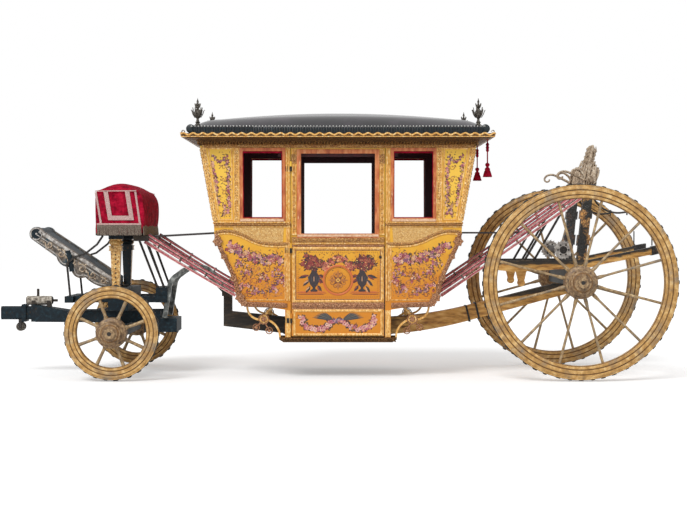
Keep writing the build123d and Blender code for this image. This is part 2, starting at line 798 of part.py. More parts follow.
# Rear side beams, on top of the axle bed, with carved heads in front and long tails
beam_y = 450.0
beam_half = 45.0
beam_seat_top = 1095.0
roller_z = 882.0
rear_at = rear_x - cabin_x
beam_front = rear_at - 703
beam_end = rear_at + 847
roller_x = rear_at - 488
with BuildPart() as rear_beams:
    for side in (-1, 1):
        with BuildSketch(side_view(side * beam_y)):
            with BuildLine():
                Polyline(
                    (beam_front, 1000),
                    (beam_front, 1070),
                    (beam_front + 40, 1092),
                    (rear_at - 60, beam_seat_top),
                    (rear_at + 150, beam_seat_top),
                    (beam_end, 1240),
                    (beam_end, 1170),
                    (rear_at + 300, 1062),
                    (rear_at + 70, rear_bed_top),
                    (rear_at - 120, rear_bed_top),
                    (beam_front + 140, 985),
                    close=True,
                )
            make_face()
        extrude(amount=beam_half, both=True)
        # Hanging bracket with the roller that guides the strap
        with BuildSketch(side_view(side * beam_y)):
            with BuildLine():
                Polyline(
                    (roller_x - 53, 1000),
                    (roller_x + 53, 1000),
                    (roller_x + 25, roller_z),
                    (roller_x - 25, roller_z),
                    close=True,
                )
            make_face()
        extrude(amount=12, both=True)
        with BuildSketch(side_view(side * beam_y)):
            with Locations((roller_x, roller_z)):
                RegularPolygon(34, 10)
        extrude(amount=42, both=True)
write(rear_beams, "rear_beams")

# Rear standards: leaning posts with stepped blocks
standard_lean = 73.0 / 735.0
standard_top = 1800.0
with BuildPart() as rear_standards:
    for side in (-1, 1):
        with BuildSketch(side_view(side * beam_y)):
            for base, top, width in (
                (beam_seat_top, standard_top, 84),
                (1230, 1330, 112),
                (1480, 1560, 112),
                (standard_top - 120, standard_top, 124),
            ):
                base_x = rear_at + 73 + (base - beam_seat_top) * standard_lean
                top_x = rear_at + 73 + (top - beam_seat_top) * standard_lean
                with BuildLine():
                    Polyline(
                        (base_x - width / 2, base),
                        (base_x + width / 2, base),
                        (top_x + width / 2, top),
                        (top_x - width / 2, top),
                        close=True,
                    )
                make_face()
        extrude(amount=44, both=True)
write(rear_standards, "rear_standards")

# Crest rail across the standards, with a leaf rising in the middle and scroll arms in front
crest_x = rear_at + 73 + (standard_top - beam_seat_top) * standard_lean
crest_lean = radians(16)
crest_plane = Plane(
    origin=(cabin_x + crest_x, 0, standard_top),
    x_dir=(0, 1, 0),
    z_dir=(cos(crest_lean), 0, -sin(crest_lean)),
)
with BuildPart() as rear_crest:
    with BuildSketch(crest_plane):
        with BuildLine():
            Line((0, 30), (560, 30))
            ThreePointArc((560, 30), (590, 110), (520, 170))
            ThreePointArc((520, 170), (330, 130), (180, 215))
            ThreePointArc((180, 215), (110, 330), (0, 415))
            Line((0, 415), (0, 30))
        make_face()
        mirror(about=Plane.YZ)
    extrude(amount=42, both=True)
    with BuildSketch(Plane(origin=(cabin_x + crest_x, 0, standard_top))):
        for side in (-1, 1):
            with Locations((0, side * beam_y)):
                Rectangle(124, 120)
    extrude(amount=60)
    for side in (-1, 1):
        scroll_plane = Plane(
            origin=(cabin_x + crest_x, side * beam_y, standard_top),
            x_dir=(-1, 0, 0),
            z_dir=(0, 1, 0),
        )
        with BuildSketch(scroll_plane):
            with BuildLine():
                Polyline((0, 2), (0, 58), (110, 100))
                ThreePointArc((110, 100), (270, 135), (300, 60))
                ThreePointArc((300, 60), (245, 35), (240, 80))
                Polyline((240, 80), (130, 50), (0, 2))
            make_face()
        extrude(amount=38, both=True)
    with BuildSketch(Plane.XY.offset(standard_top - 100)):
        with Locations((cabin_x + crest_x, 0)):
            Rectangle(900, 1400)
    extrude(amount=100, mode=Mode.SUBTRACT)
write(rear_crest, "rear_crest")

# Windlass for the rear straps, on cheeks that stand on the side beams
windlass_x = rear_at - 97
windlass_z = 1190.0
with BuildPart() as windlass:
    with BuildSketch(side_view()):
        with Locations((windlass_x, windlass_z)):
            Circle(38)
    extrude(amount=beam_y + 30, both=True)
    for side in (-1, 1):
        with BuildSketch(side_view(side * (beam_y + 24))):
            with Locations((windlass_x, windlass_z)):
                RegularPolygon(94, 16)
        extrude(amount=9, both=True)
        with BuildSketch(side_view(side * (beam_y - 20))):
            with BuildLine():
                Polyline(
                    (windlass_x - 70, beam_seat_top),
                    (windlass_x + 70, beam_seat_top),
                    (windlass_x + 50, windlass_z + 55),
                    (windlass_x - 50, windlass_z + 55),
                    close=True,
                )
            make_face()
        extrude(amount=16, both=True)
    add(rear_beams.part, mode=Mode.SUBTRACT)
write(windlass, "windlass")

# Straps: thick leather bundles from the strap bar and the rear standards down to the cabin.
# Columns: name, (x, z) at the cabin, (x, z) at the carriage.
strap_depth = 62.0
strap_width = 56.0
strap_low_x = 950.0
strap_low_z = 782.0
strap_lap = 22.0  # how far a front strap passes over the strap bar
strap_table = [
    ("front", (-strap_low_x, strap_low_z), (strap_bar_rear - cabin_x - strap_lap, seat_bottom - 8)),
    ("rear", (strap_low_x, strap_low_z), (crest_x - 44, standard_top - 55)),
]
straps = {}
for end_name, low_end, high_end in strap_table:
    with BuildPart() as strap:
        for side in (-1, 1):
            with BuildSketch(side_view(side * beam_y)):
                with BuildLine():
                    Line(low_end, high_end)
                trace(line_width=strap_depth)
            extrude(amount=strap_width / 2, both=True)
        add(rear_standards.part, mode=Mode.SUBTRACT)
        add(seat_frame.part, mode=Mode.SUBTRACT)
        with BuildSketch(side_view()):
            add(outer_face)
        extrude(amount=1000, both=True, mode=Mode.SUBTRACT)
    write(strap, f"{end_name}_straps")
    straps[end_name] = strap

# Rear stays: two thin rods a side, from the side beams up to the undersides of the straps.
# Columns: (x, z) inside the strap, (x, z) inside the beam.
rear_stay_table = [
    ((rear_at - 189, 1550.0), (rear_at - 470, beam_seat_top - 30)),
    ((rear_at - 83, 1590.0), (rear_at - 383, beam_seat_top - 30)),
]
with BuildPart() as rear_stays:
    for side in (-1, 1):
        for (top_x, high), (foot_x, low) in rear_stay_table:
            start = Vector(cabin_x + top_x, side * beam_y, high)
            finish = Vector(cabin_x + foot_x, side * beam_y, low)
            with BuildSketch(Plane(origin=start, z_dir=finish - start)):
                RegularPolygon(stay_radius, 6)
            extrude(amount=(finish - start).length)
    add(rear_beams.part, mode=Mode.SUBTRACT)
    add(straps["rear"].part, mode=Mode.SUBTRACT)
write(rear_stays, "rear_stays")

# Stays of the footboard: square iron bars that climb from the platform's front bar to the seat
stay_size = 18.0
footboard_stay_y = board_half + cheek_thickness + 18
with BuildPart() as footboard_stays:
    for side in (-1, 1):
        with BuildSketch(Plane.XZ.offset(-side * footboard_stay_y)):
            with BuildLine():
                Polyline(
                    (front_x - 470, bar_bottom + 60),
                    (front_x - 500, 1060),
                    (front_x - 430, 1120),
                    (front_x - 330, 1150),
                    (front_x - 215, 1240),
                    (front_x - 160, seat_bottom),
                )
            trace(line_width=stay_size)
        extrude(amount=stay_size / 2, both=True)
    for carrier in (fore_platform, seat_frame, front_standards):
        add(carrier.part, mode=Mode.SUBTRACT)
write(footboard_stays, "footboard_stays")

# Bound bar on the futchells, with its upright pin, on two saddles. Its tail ends ahead of the
# circle that the platform's front corners keep clear when the fore-carriage turns.
bound_radius = 34.0
bound_front = front_x - 950
bound_length = 255.0
bound_tail = 45.0
bound_z = futchell_front_top + 42
saddle_bottom = futchell_bottom + 60
with BuildPart() as bound_bar:
    with BuildSketch(cross_view(bound_front, bound_z)):
        RegularPolygon(bound_radius, 12)
    extrude(amount=bound_length)
    with BuildSketch(cross_view(bound_front + bound_length, bound_z)):
        RegularPolygon(14, 6)
    extrude(amount=bound_tail)
    for saddle_x in (bound_front + 75, bound_front + 220):
        with BuildSketch(Plane.XY.offset(saddle_bottom)):
            with Locations((saddle_x, 0)):
                Rectangle(34, 110)
        extrude(amount=bound_z - saddle_bottom)
    with BuildSketch(Plane.XY.offset(bound_z)):
        with Locations((bound_front + 112, 0)):
            RegularPolygon(13, 6)
    extrude(amount=113)
    add(futchells.part, mode=Mode.SUBTRACT)
    add(pole_head.part, mode=Mode.SUBTRACT)
write(bound_bar, "bound_bar")

# Scrolled irons between the cabin's bottom corners and the step bases
scroll_y = side_y(corner_z) - 86
scroll_width = 18.0
rosette_x = 690.0
rosette_z = 548.0
with BuildPart() as body_scrolls:
    for side in (-1, 1):
        with BuildSketch(side_view(side * scroll_y)):
            for end in (-1, 1):
                centre = (end * rosette_x, rosette_z)
                for middle, finish in (
                    ((826, 600), (838, corner_z)),
                    ((596, 505), (step_half - 5, well_bottom - 7)),
                    ((650, 620), (585, sill_z + 32)),
                ):
                    with BuildLine():
                        ThreePointArc(centre, (end * middle[0], middle[1]), (end * finish[0], finish[1]))
                    trace(line_width=scroll_width)
                with Locations(centre):
                    RegularPolygon(40, 8)
        extrude(amount=12, both=True)
    with BuildSketch(side_view()):
        add(outer_face)
        with Locations((0, well_bottom)):
            Rectangle(2 * well_half, 2 * (sill_z - well_bottom))
    extrude(amount=1000, both=True, mode=Mode.SUBTRACT)
    add(step_bases.part, mode=Mode.SUBTRACT)
write(body_scrolls, "body_scrolls")

# Check straps that hold the body from swaying, from its end walls to the strap bar and straps
check_size = 16.0
check_z = 1350.0
with BuildPart() as check_straps:
    for side in (-1, 1):
        with BuildSketch(side_view(side * beam_y)):
            for wall_x, far_x, far_z in (
                (-waist[0] + 15, strap_bar_rear - cabin_x - 5, seat_bottom - 8),
                (waist[0] - 15, rear_at - 483, check_z),
            ):
                with BuildLine():
                    Line((wall_x, check_z), (far_x, far_z))
                trace(line_width=check_size)
        extrude(amount=check_size / 2, both=True)
    with BuildSketch(side_view()):
        add(outer_face)
    extrude(amount=1000, both=True, mode=Mode.SUBTRACT)
    for carrier in (seat_frame, straps["front"], straps["rear"]):
        add(carrier.part, mode=Mode.SUBTRACT)
write(check_straps, "check_straps")

# Tassels under the rear edge of the cornice, each on a short cord
tassel_x = 1390.0
tassel_y = 540.0
tassel_top = top_z - 146
tassel_length = 135.0
tassel_head = 44.0
tassel_taper = 19.0
tassel_cord_radius = 6.0
for side_name, side in (("left", -1), ("right", 1)):
    tassel_line = Vector(cabin_x + tassel_x, side * tassel_y, 0)
    with BuildPart() as tassel_cord:
        with BuildSketch(Plane(origin=tassel_line + Vector(0, 0, tassel_top))):
            Circle(tassel_cord_radius)
        extrude(amount=cornice_top - cornice_lip / 2 - tassel_top)
        add(cornice.part, mode=Mode.SUBTRACT)
    write(tassel_cord, f"tassel_cord_{side_name}")
    with BuildPart() as tassel:
        with BuildSketch(Plane(origin=tassel_line + Vector(0, 0, tassel_top - tassel_length))):
            RegularPolygon(44, 12)
        extrude(amount=tassel_length - tassel_head, taper=tassel_taper)
        with BuildSketch(Plane(origin=tassel_line + Vector(0, 0, tassel_top - tassel_head))):
            RegularPolygon(20, 12)
        extrude(amount=tassel_head)
    write(tassel, f"tassel_{side_name}")
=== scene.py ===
# %% [markdown]
# # A carved and gilded state coach
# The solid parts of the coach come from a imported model, in metres: front towards -X, left side
# towards -Y, floor at Z = 0. This lesson dresses them. Each step says what the piece or finish
# is on a real coach, how it could be made, and why this way was chosen.

# %% Load the frame
from math import atan2, cos, hypot, pi, radians, sin, tan
from random import Random

import bpy
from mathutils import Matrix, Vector, noise


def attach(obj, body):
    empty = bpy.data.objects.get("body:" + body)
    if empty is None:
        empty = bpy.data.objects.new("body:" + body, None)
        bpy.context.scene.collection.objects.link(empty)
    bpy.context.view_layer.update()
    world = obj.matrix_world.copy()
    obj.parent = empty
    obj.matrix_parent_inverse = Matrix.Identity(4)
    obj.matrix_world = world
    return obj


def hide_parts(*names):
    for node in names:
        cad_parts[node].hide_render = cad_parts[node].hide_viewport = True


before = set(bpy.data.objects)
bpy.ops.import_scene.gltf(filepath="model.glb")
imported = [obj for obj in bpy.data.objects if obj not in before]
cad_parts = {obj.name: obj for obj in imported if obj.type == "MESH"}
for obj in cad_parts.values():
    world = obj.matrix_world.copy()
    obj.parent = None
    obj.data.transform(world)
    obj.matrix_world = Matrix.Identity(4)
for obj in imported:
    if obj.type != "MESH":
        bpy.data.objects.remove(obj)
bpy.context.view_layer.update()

# Sizes of the solids: the cabin's middle and top, its half width there and the sides' lean
cabin_x, cabin_top, half_top, side_lean = 0.070, 2.146, 0.760, radians(4.5)
# Each axle's x and height
front_axle, rear_axle = (-1.987, 0.440), (2.273, 0.900)
# Sides and ends with the sign of their Y or X
both_sides, both_ends = (("left", -1), ("right", 1)), (("front", -1), ("rear", 1))

# %% [markdown]
# ## Camera, floor and light
# The coach is seen square from its left side with a long lens, about 15 m away, which keeps
# the near and far wheels almost the same size. A pale floor takes the soft shadow. The world
# gives even light, and one wide sun adds the direction. To the camera and in reflections the
# background is plain white, by the Light Path node, so no extra light falls on the coach.

# %% Camera
def put(name, data):
    """A new object of some data, linked into the scene."""
    piece = bpy.data.objects.new(name, data)
    bpy.context.scene.collection.objects.link(piece)
    return piece


camera_data = bpy.data.cameras.new("camera")
camera_data.lens = 82.8
camera_data.shift_x = 0.008
camera_data.clip_end = 200
camera = put("camera", camera_data)
camera.location = (cabin_x, -15.25, 1.36)
camera.rotation_euler = (radians(90 - 0.9), 0, 0)
bpy.context.scene.camera = camera
bpy.context.scene.view_settings.view_transform = "Standard"


# %% One function adds a node, sets it and links it
def linear(colour):
    """An sRGB hex colour as linear red, green, blue and full alpha."""
    parts = [int(colour[i:i + 2], 16) / 255 for i in (0, 2, 4)]
    return [c / 12.92 if c <= 0.04045 else ((c + 0.055) / 1.055) ** 2.4 for c in parts] + [1.0]


def add(tree, kind, links=None, stops=None, **settings):
    """Adds a node. Links give an input a node, a socket or a value, settings set the rest."""
    node = tree.nodes.new("ShaderNode" + kind)
    for key, value in settings.items():
        if hasattr(node, key):
            setattr(node, key, value)
        else:
            node.inputs[key.replace("_", " ")].default_value = value
    for key, source in (links or {}).items():
        if isinstance(source, (bpy.types.Node, bpy.types.NodeSocket)):
            tree.links.new(getattr(source, "outputs", [source])[0], node.inputs[key])
        else:
            node.inputs[key].default_value = source
    if stops:
        ramp = node.color_ramp
        while len(ramp.elements) < len(stops):
            ramp.elements.new(0.5)
        for element, (place, colour) in zip(ramp.elements, stops):
            element.position = place
            element.color = linear(colour) if isinstance(colour, str) else (colour, colour, colour, 1)
    return node


def blank(name):
    """A new material and its empty node tree."""
    material = bpy.data.materials.new(name)
    material.use_nodes = True
    material.node_tree.nodes.clear()
    return material, material.node_tree


# %% Floor, world and sun
world = bpy.data.worlds.new("studio")
bpy.context.scene.world = world
world.use_nodes = True
tree = world.node_tree
tree.nodes.clear()
path = add(tree, "LightPath")
seen = add(tree, "Math", {0: path.outputs["Is Camera Ray"], 1: path.outputs["Is Glossy Ray"]},
           operation="MAXIMUM")
seen = add(tree, "Math", {0: seen, 1: path.outputs["Is Transmission Ray"]},
           operation="MAXIMUM")
soft = add(tree, "Background", {"Color": (1, 1, 1, 1)}, Strength=0.62)
white = add(tree, "Background", {"Color": (1, 1, 1, 1)}, Strength=1.0)
both = add(tree, "MixShader", {0: seen, 1: soft, 2: white})
add(tree, "OutputWorld", {"Surface": both})

sun_data = bpy.data.lights.new("sun", "SUN")
sun_data.energy = 1.9
sun_data.angle = radians(25)
put("sun", sun_data).rotation_euler = (radians(48), 0, radians(-24))

bpy.ops.mesh.primitive_plane_add(size=60, location=(0, 8, 0))
floor = bpy.context.object
floor.name = "floor"
floor_paint, tree = blank("matt_white_backdrop_paper")
path = add(tree, "LightPath")
paper = add(tree, "BsdfDiffuse", {"Color": (0.86, 0.86, 0.86, 1)})
lift = add(tree, "Math", {0: path.outputs["Is Camera Ray"], 1: 0.28}, operation="MULTIPLY")
glow = add(tree, "Emission", {"Strength": lift})
total = add(tree, "AddShader", {0: paper, 1: glow})
add(tree, "OutputMaterial", {"Surface": total})
floor.data.materials.append(floor_paint)
print("camera, world, sun and floor are ready")

# %% [markdown]
# ## Finishes
# Nearly every surface is old wood, iron, leather or cloth whose colour wanders and whose
# hollows are dark. One function makes such a finish from a short table: colours
# over a noise of a real grain size, a second colour where it is worn, and a relief. Voronoi
# cells bent by noise read as small carved leaves at the size of this object, so carving gets
# them, with brown in the cells' edges.


# %% Old finishes
def finish(name, colours, grain, rough=(0.45, 0.7), relief=None, depth=0.0, wear=None,
           wear_size=60, wear_at=(0.55, 0.7), stretch=(1, 1, 1), metallic=0.0, tint=False, inner=None,
           hole=None, hollow="4A2E16", **surface):
    """An old surface: colours over a grain in mm, relief in mm with dark hollows, a worn colour."""
    material, tree = blank(name)
    place = add(tree, "TexCoord")
    turned = add(tree, "Mapping", {"Vector": place.outputs["Object"]}, Scale=stretch)
    speckle = add(tree, "TexNoise", {"Vector": turned},
                  Scale=1000 / grain, Detail=6.0, Roughness=0.6)
    shade = add(tree, "ValToRGB", {"Fac": speckle}, stops=colours)
    colour, height = shade, speckle
    if tint:
        paint = add(tree, "VertexColor", layer_name="tint")
        colour = add(tree, "Mix", {0: 0.94, 6: colour, 7: paint}, data_type="RGBA").outputs[2]
    if inner:
        # Points nearer the coach's middle than `inner` are dark: the axle beds' dark paint, and painted shade
        # on the posts' inner faces
        axes = add(tree, "SeparateXYZ", {0: place.outputs["Object"]})
        side = add(tree, "Math", {0: axes.outputs["Y"]}, operation="ABSOLUTE")
        near = add(tree, "Math", {0: side, 1: inner}, operation="LESS_THAN")
        colour = add(tree, "Mix", {0: near, 6: colour, 7: linear("16242A")}, data_type="RGBA").outputs[2]
    if hole:
        # Painted shade for the hole in the axle's end: a dark disc round the axle's own line
        flat = add(tree, "Mapping", {"Vector": place.outputs["Object"]}, Scale=(1, 0, 1))
        reach = add(tree, "VectorMath", {0: flat, 1: (hole[0], 0, hole[1])}, operation="DISTANCE")
        inside = add(tree, "Math", {0: reach.outputs["Value"], 1: 0.019}, operation="LESS_THAN")
        colour = add(tree, "Mix", {0: inside, 6: colour, 7: linear("1C1610")}, data_type="RGBA").outputs[2]
    if relief:
        warp = add(tree, "TexNoise", {"Vector": turned}, Scale=900 / relief)
        shift = add(tree, "VectorMath", {0: warp.outputs["Color"], "Scale": relief / 900},
                    operation="SCALE")
        bent = add(tree, "VectorMath", {0: turned, 1: shift}, operation="ADD")
        leaves = add(tree, "TexVoronoi", {"Vector": bent},
                     Scale=1000 / relief, feature="DISTANCE_TO_EDGE")
        height = add(tree, "ValToRGB", {"Fac": leaves.outputs["Distance"]},
                     stops=[(0.0, 0.0), (0.16, 1.0)])
        colour = add(tree, "Mix", {0: height, 6: linear(hollow), 7: colour}, data_type="RGBA").outputs[2]
    if wear:
        patches = add(tree, "TexNoise", {"Vector": turned},
                      Scale=1000 / wear_size, Detail=8.0, Roughness=0.65)
        bare = add(tree, "ValToRGB", {"Fac": patches},
                   stops=[(wear_at[0], 0.0), (wear_at[1], 1.0)])
        colour = add(tree, "Mix", {0: bare, 6: colour, 7: linear(wear)}, data_type="RGBA").outputs[2]
    gloss = add(tree, "MapRange", {"Value": speckle}, To_Min=rough[0], To_Max=rough[1])
    bump = add(tree, "Bump", {"Height": height}, Strength=0.8, Distance=depth / 1000)
    skin = add(tree, "BsdfPrincipled",
               {"Base Color": colour, "Roughness": gloss, "Normal": bump},
               Metallic=metallic)
    for key, value in surface.items():
        skin.inputs[key.replace("_", " ")].default_value = value
    add(tree, "OutputMaterial", {"Surface": skin})
    return material


# Oil-gilded limewood carving: thin gold over red-brown bole, dull in its hollows
carved_gilt = finish("carved_gilded_limewood", [(0.3, "93582A"), (0.5, "D2994F"), (0.68, "F3D296")], 9,
                     (0.35, 0.6), relief=12, depth=2.6, wear="8E5238", wear_size=30,
                     wear_at=(0.56, 0.66), metallic=0.2, hollow="5C3216")
# The same gold, rubbed plain, on smooth mouldings
plain_gilt = finish("burnished_gilded_moulding", [(0.3, "B87C34"), (0.5, "E6B05C"), (0.7, "FCE4AE")], 14,
                    (0.3, 0.5), depth=0.5, wear="8E5426", wear_size=20, wear_at=(0.6, 0.7),
                    metallic=0.14, stretch=(1, 1, 0.4))
# Dark brown gold, on the cornice cove under the lip and on the step bases and their leaves
brown_gilt = finish("dark_brown_gilded_carving", [(0.3, "38220E"), (0.5, "6E471E"), (0.7, "C0904A")], 8,
                    (0.4, 0.65), relief=12, depth=2.6, metallic=0.2, hollow="241408")
# Pinkish brown worn carving of the bottom band
rosy_gilt = finish("worn_rosy_carving", [(0.3, "84492E"), (0.5, "C68A5E"), (0.7, "F0CBA0")], 8,
                   (0.45, 0.7), relief=12, depth=2.6, metallic=0.1, hollow="52281A")
# Punched gold ground, a fine lattice of small cells
diaper_gilt = finish("punched_gold_ground", [(0.3, "C4904A"), (0.5, "E6BC72"), (0.7, "F8E0A4")], 12,
                     (0.35, 0.55), relief=11, depth=1.5, metallic=0.2, hollow="A87034")
# Beech frames in salmon oil paint, chalky with age
salmon_beech = finish("salmon_painted_beech", [(0.3, "9A4426"), (0.5, "C8703E"), (0.7, "E09A64")], 40,
                      (0.4, 0.6), depth=0.4, wear="E8C08E", wear_size=30, wear_at=(0.58, 0.70),
                      stretch=(1, 1, 0.25))
# Light lime-washed sill edge of the same frames
pale_sill = finish("rubbed_pale_sill", [(0.3, "C08A62"), (0.6, "E6C3A2"), (0.8, "F3DFC6")], 18, depth=0.4)
# Oil flowers on gold: colour comes from each petal's own tint
flower_paint = finish("oil_painted_flowers", [(0.3, "8A3A3A"), (0.7, "F0C0A8")], 6,
                      (0.3, 0.5), depth=0.4, tint=True)
# Dark oak under old black-brown paint
dark_oak = finish("smoke_blackened_oak", [(0.3, "17130F"), (0.55, "2E251C"), (0.75, "55452F")], 30,
                  (0.5, 0.8), depth=1.2, wear="6E5836", wear_size=70, wear_at=(0.6, 0.75),
                  stretch=(0.3, 1, 1))
# Blue-black oil paint on the pole and futchells
blue_black = finish("blue_black_oil_paint", [(0.3, "060F14"), (0.55, "0E1F28"), (0.75, "274048")], 30,
                    (0.45, 0.7), depth=0.8, wear="2E261E", wear_size=55, wear_at=(0.58, 0.72),
                    Specular_IOR_Level=0.25)
# Forge-blackened iron with a little rust
iron = finish("hammered_wrought_iron", [(0.3, "1B1A1A"), (0.55, "34312F"), (0.75, "5C5650")], 18,
              (0.4, 0.65), depth=0.8, wear="5A3A26", wear_size=30, wear_at=(0.62, 0.74), metallic=0.55)
# Scoured iron of the crane necks, dark grey to pale
pale_iron = finish("scoured_iron", [(0.3, "2C2D2C"), (0.5, "6A6E6C"), (0.72, "B4B8B4")], 28,
                   (0.3, 0.55), depth=0.6, metallic=0.6, stretch=(0.5, 1, 0.5))
# Black varnished roof leather, with a soft violet bloom
roof_leather = finish("black_varnished_leather", [(0.3, "131214"), (0.55, "262227"), (0.8, "473C46")], 220,
                      (0.28, 0.42), depth=0.3, Coat_Weight=0.3)
# Blue-black painted lead ribs round the roof
rib_paint = finish("blue_black_lead_ribs", [(0.3, "050C10"), (0.55, "0A1A20"), (0.75, "1E363E")], 20,
                   (0.3, 0.5), depth=0.4)
# Silver-washed bronze of finials and buckles, tarnished brown-grey
bronze = finish("tarnished_silvered_bronze", [(0.3, "2E2A26"), (0.5, "5E5850"), (0.7, "A9A296")], 12,
                (0.35, 0.6), relief=12, depth=1.2, metallic=0.7, hollow="1E1A16")
# Round silver-headed nails
stud_metal = finish("silvered_nail_heads", [(0.3, "8E8E8A"), (0.6, "C8C8C2")], 6, (0.25, 0.4),
                    depth=0.1, metallic=0.8)
# Rose-dyed strap leather, cracked black, with a pale cut edge
rose_leather = finish("rose_dyed_strap_leather", [(0.3, "7A2C38"), (0.5, "B4545E"), (0.7, "DC9C9A")], 22,
                      (0.45, 0.7), depth=0.7, wear="3E1A20", wear_size=34, wear_at=(0.58, 0.68),
                      stretch=(1, 0.3, 1))
pale_leather = finish("pale_cut_leather_edge", [(0.3, "B08A80"), (0.6, "E2CAC0"), (0.8, "F4EAE4")], 16,
                      (0.5, 0.7), depth=0.5, wear="5A3434", wear_size=26, wear_at=(0.58, 0.68))
black_leather = finish("black_harness_leather", [(0.3, "120E0E"), (0.6, "2A2020"), (0.8, "4C3A38")], 14,
                       (0.4, 0.65), depth=0.5)
# Crimson silk velvet, with a soft nap
velvet = finish("crimson_silk_velvet", [(0.3, "5E0418"), (0.5, "940C28"), (0.7, "B81A38")], 45,
                (0.75, 0.95), depth=0.8, wear="6A0C22", wear_size=60, Specular_IOR_Level=0.06)
lining = finish("dark_crimson_silk_lining", [(0.3, "2A0810"), (0.6, "4A1018"), (0.8, "66182A")], 60,
                (0.6, 0.8), depth=0.4, Sheen_Weight=0.3)
galloon = finish("pink_silver_galloon", [(0.3, "8E6E6C"), (0.5, "C9A8A2"), (0.7, "E9D6CE")], 5,
                 (0.5, 0.7), relief=7, depth=0.6, hollow="9C7070")
fringe_silk = finish("grey_brown_silk_fringe", [(0.3, "3E332C"), (0.5, "6C5E52"), (0.7, "9C8F80")], 7,
                     (0.6, 0.85), depth=0.3)
# Ochre paint on ash wheels: rubbed gold-brown with bare grey patches
wheel_ochre = finish("ochre_painted_ash", [(0.3, "8E6834"), (0.5, "BC9050"), (0.7, "E4C388")], 55,
                     (0.35, 0.6), depth=0.8, wear="857562", wear_size=190, wear_at=(0.5, 0.68))
# Old dark paint down in the ploughed grooves, and painted shade there, on the felloe's inner edge and on the
# hub's collar steps
groove_paint_and_shade = finish("dark_paint_and_painted_shade_in_grooves", [(0.3, "4E341A"), (0.55, "7E5A30"), (0.75, "A07A46")], 35,
                     (0.6, 0.8), depth=0.4)
# The axle beds are dark; only the nut outside the hub was left brown and rubbed
front_axle_paint, rear_axle_paint = (
    finish(f"dark_{end}_axle_and_brown_nut", [(0.3, "5A4630"), (0.5, "8E7250"), (0.7, "BCA27C")], 24,
           (0.45, 0.7), depth=1.0, wear="3A2C1E", wear_size=30, wear_at=(0.56, 0.68), inner=1.03, hole=hole)
    for end, hole in (("front", front_axle), ("rear", rear_axle)))
# Spokes rubbed thin: grey wood under what is left of the ochre
spoke_paint = finish("rubbed_spoke_paint", [(0.3, "5E4A34"), (0.5, "9C8058"), (0.7, "D2B98E")], 30,
                     (0.4, 0.65), depth=0.6, wear="6E6254", wear_size=60, wear_at=(0.5, 0.66))
hub_brown = finish("brown_turned_elm", [(0.3, "4A3622"), (0.5, "84684A"), (0.7, "B89C74")], 26,
                   (0.4, 0.65), depth=1.0, wear="33271C", wear_size=45, wear_at=(0.55, 0.68))
tyre_iron = finish("road_worn_tyre_iron", [(0.3, "191716"), (0.55, "2F2B28"), (0.75, "544C44")], 16,
                   (0.5, 0.75), depth=1.0, wear="5E4A38", wear_size=24, wear_at=(0.6, 0.72), metallic=0.4)
grey_carving = finish("silver_grey_worn_carving", [(0.3, "2E2720"), (0.5, "5E544A"), (0.7, "9A8E80")], 34,
                      (0.45, 0.7), depth=2.0, wear="1A343E", wear_size=110, wear_at=(0.52, 0.60))
# Gilt posts that carry the seat and the rear rail, with painted shade: dark nearer the coach's middle, which
# darkens the far post
front_post = finish("gilt_seat_post", [(0.3, "94602C"), (0.5, "D0A058"), (0.7, "F2D9A2")], 16,
                    (0.35, 0.6), depth=0.8, wear="6E4826", wear_size=30, wear_at=(0.57, 0.68), inner=0.372)
rear_post = finish("gilt_rail_post", [(0.3, "8A5826"), (0.5, "CC9450"), (0.7, "F0CA90")], 16,
                   (0.35, 0.6), relief=30, depth=3.0, wear="1A1814", wear_size=170, wear_at=(0.47, 0.53),
                   inner=0.424, hollow="4A2C12")
# Bare limewood of the rear crest, bleached grey-brown
bleached_wood = finish("bleached_limewood_carving", [(0.3, "6E5A48"), (0.5, "AE9A82"), (0.7, "E2D6C2")], 20,
                       (0.5, 0.75), depth=2.4, wear="5A4636", wear_size=26, wear_at=(0.54, 0.64),
                       stretch=(1, 1, 0.4))
# Hemp line, half tarred
rope = finish("half_tarred_hemp_line", [(0.3, "3A332C"), (0.5, "B4AA9C"), (0.7, "ECE6DA")], 24,
              (0.7, 0.9), depth=0.6)
silver_leaf = finish("rubbed_silver_leaf", [(0.3, "6A6460"), (0.5, "A8A29C"), (0.7, "DAD8D2")], 30,
                     (0.35, 0.6), depth=0.6, wear="4A4038", wear_size=35, wear_at=(0.55, 0.66),
                     metallic=0.2)
print("finishes made:", len(bpy.data.materials))
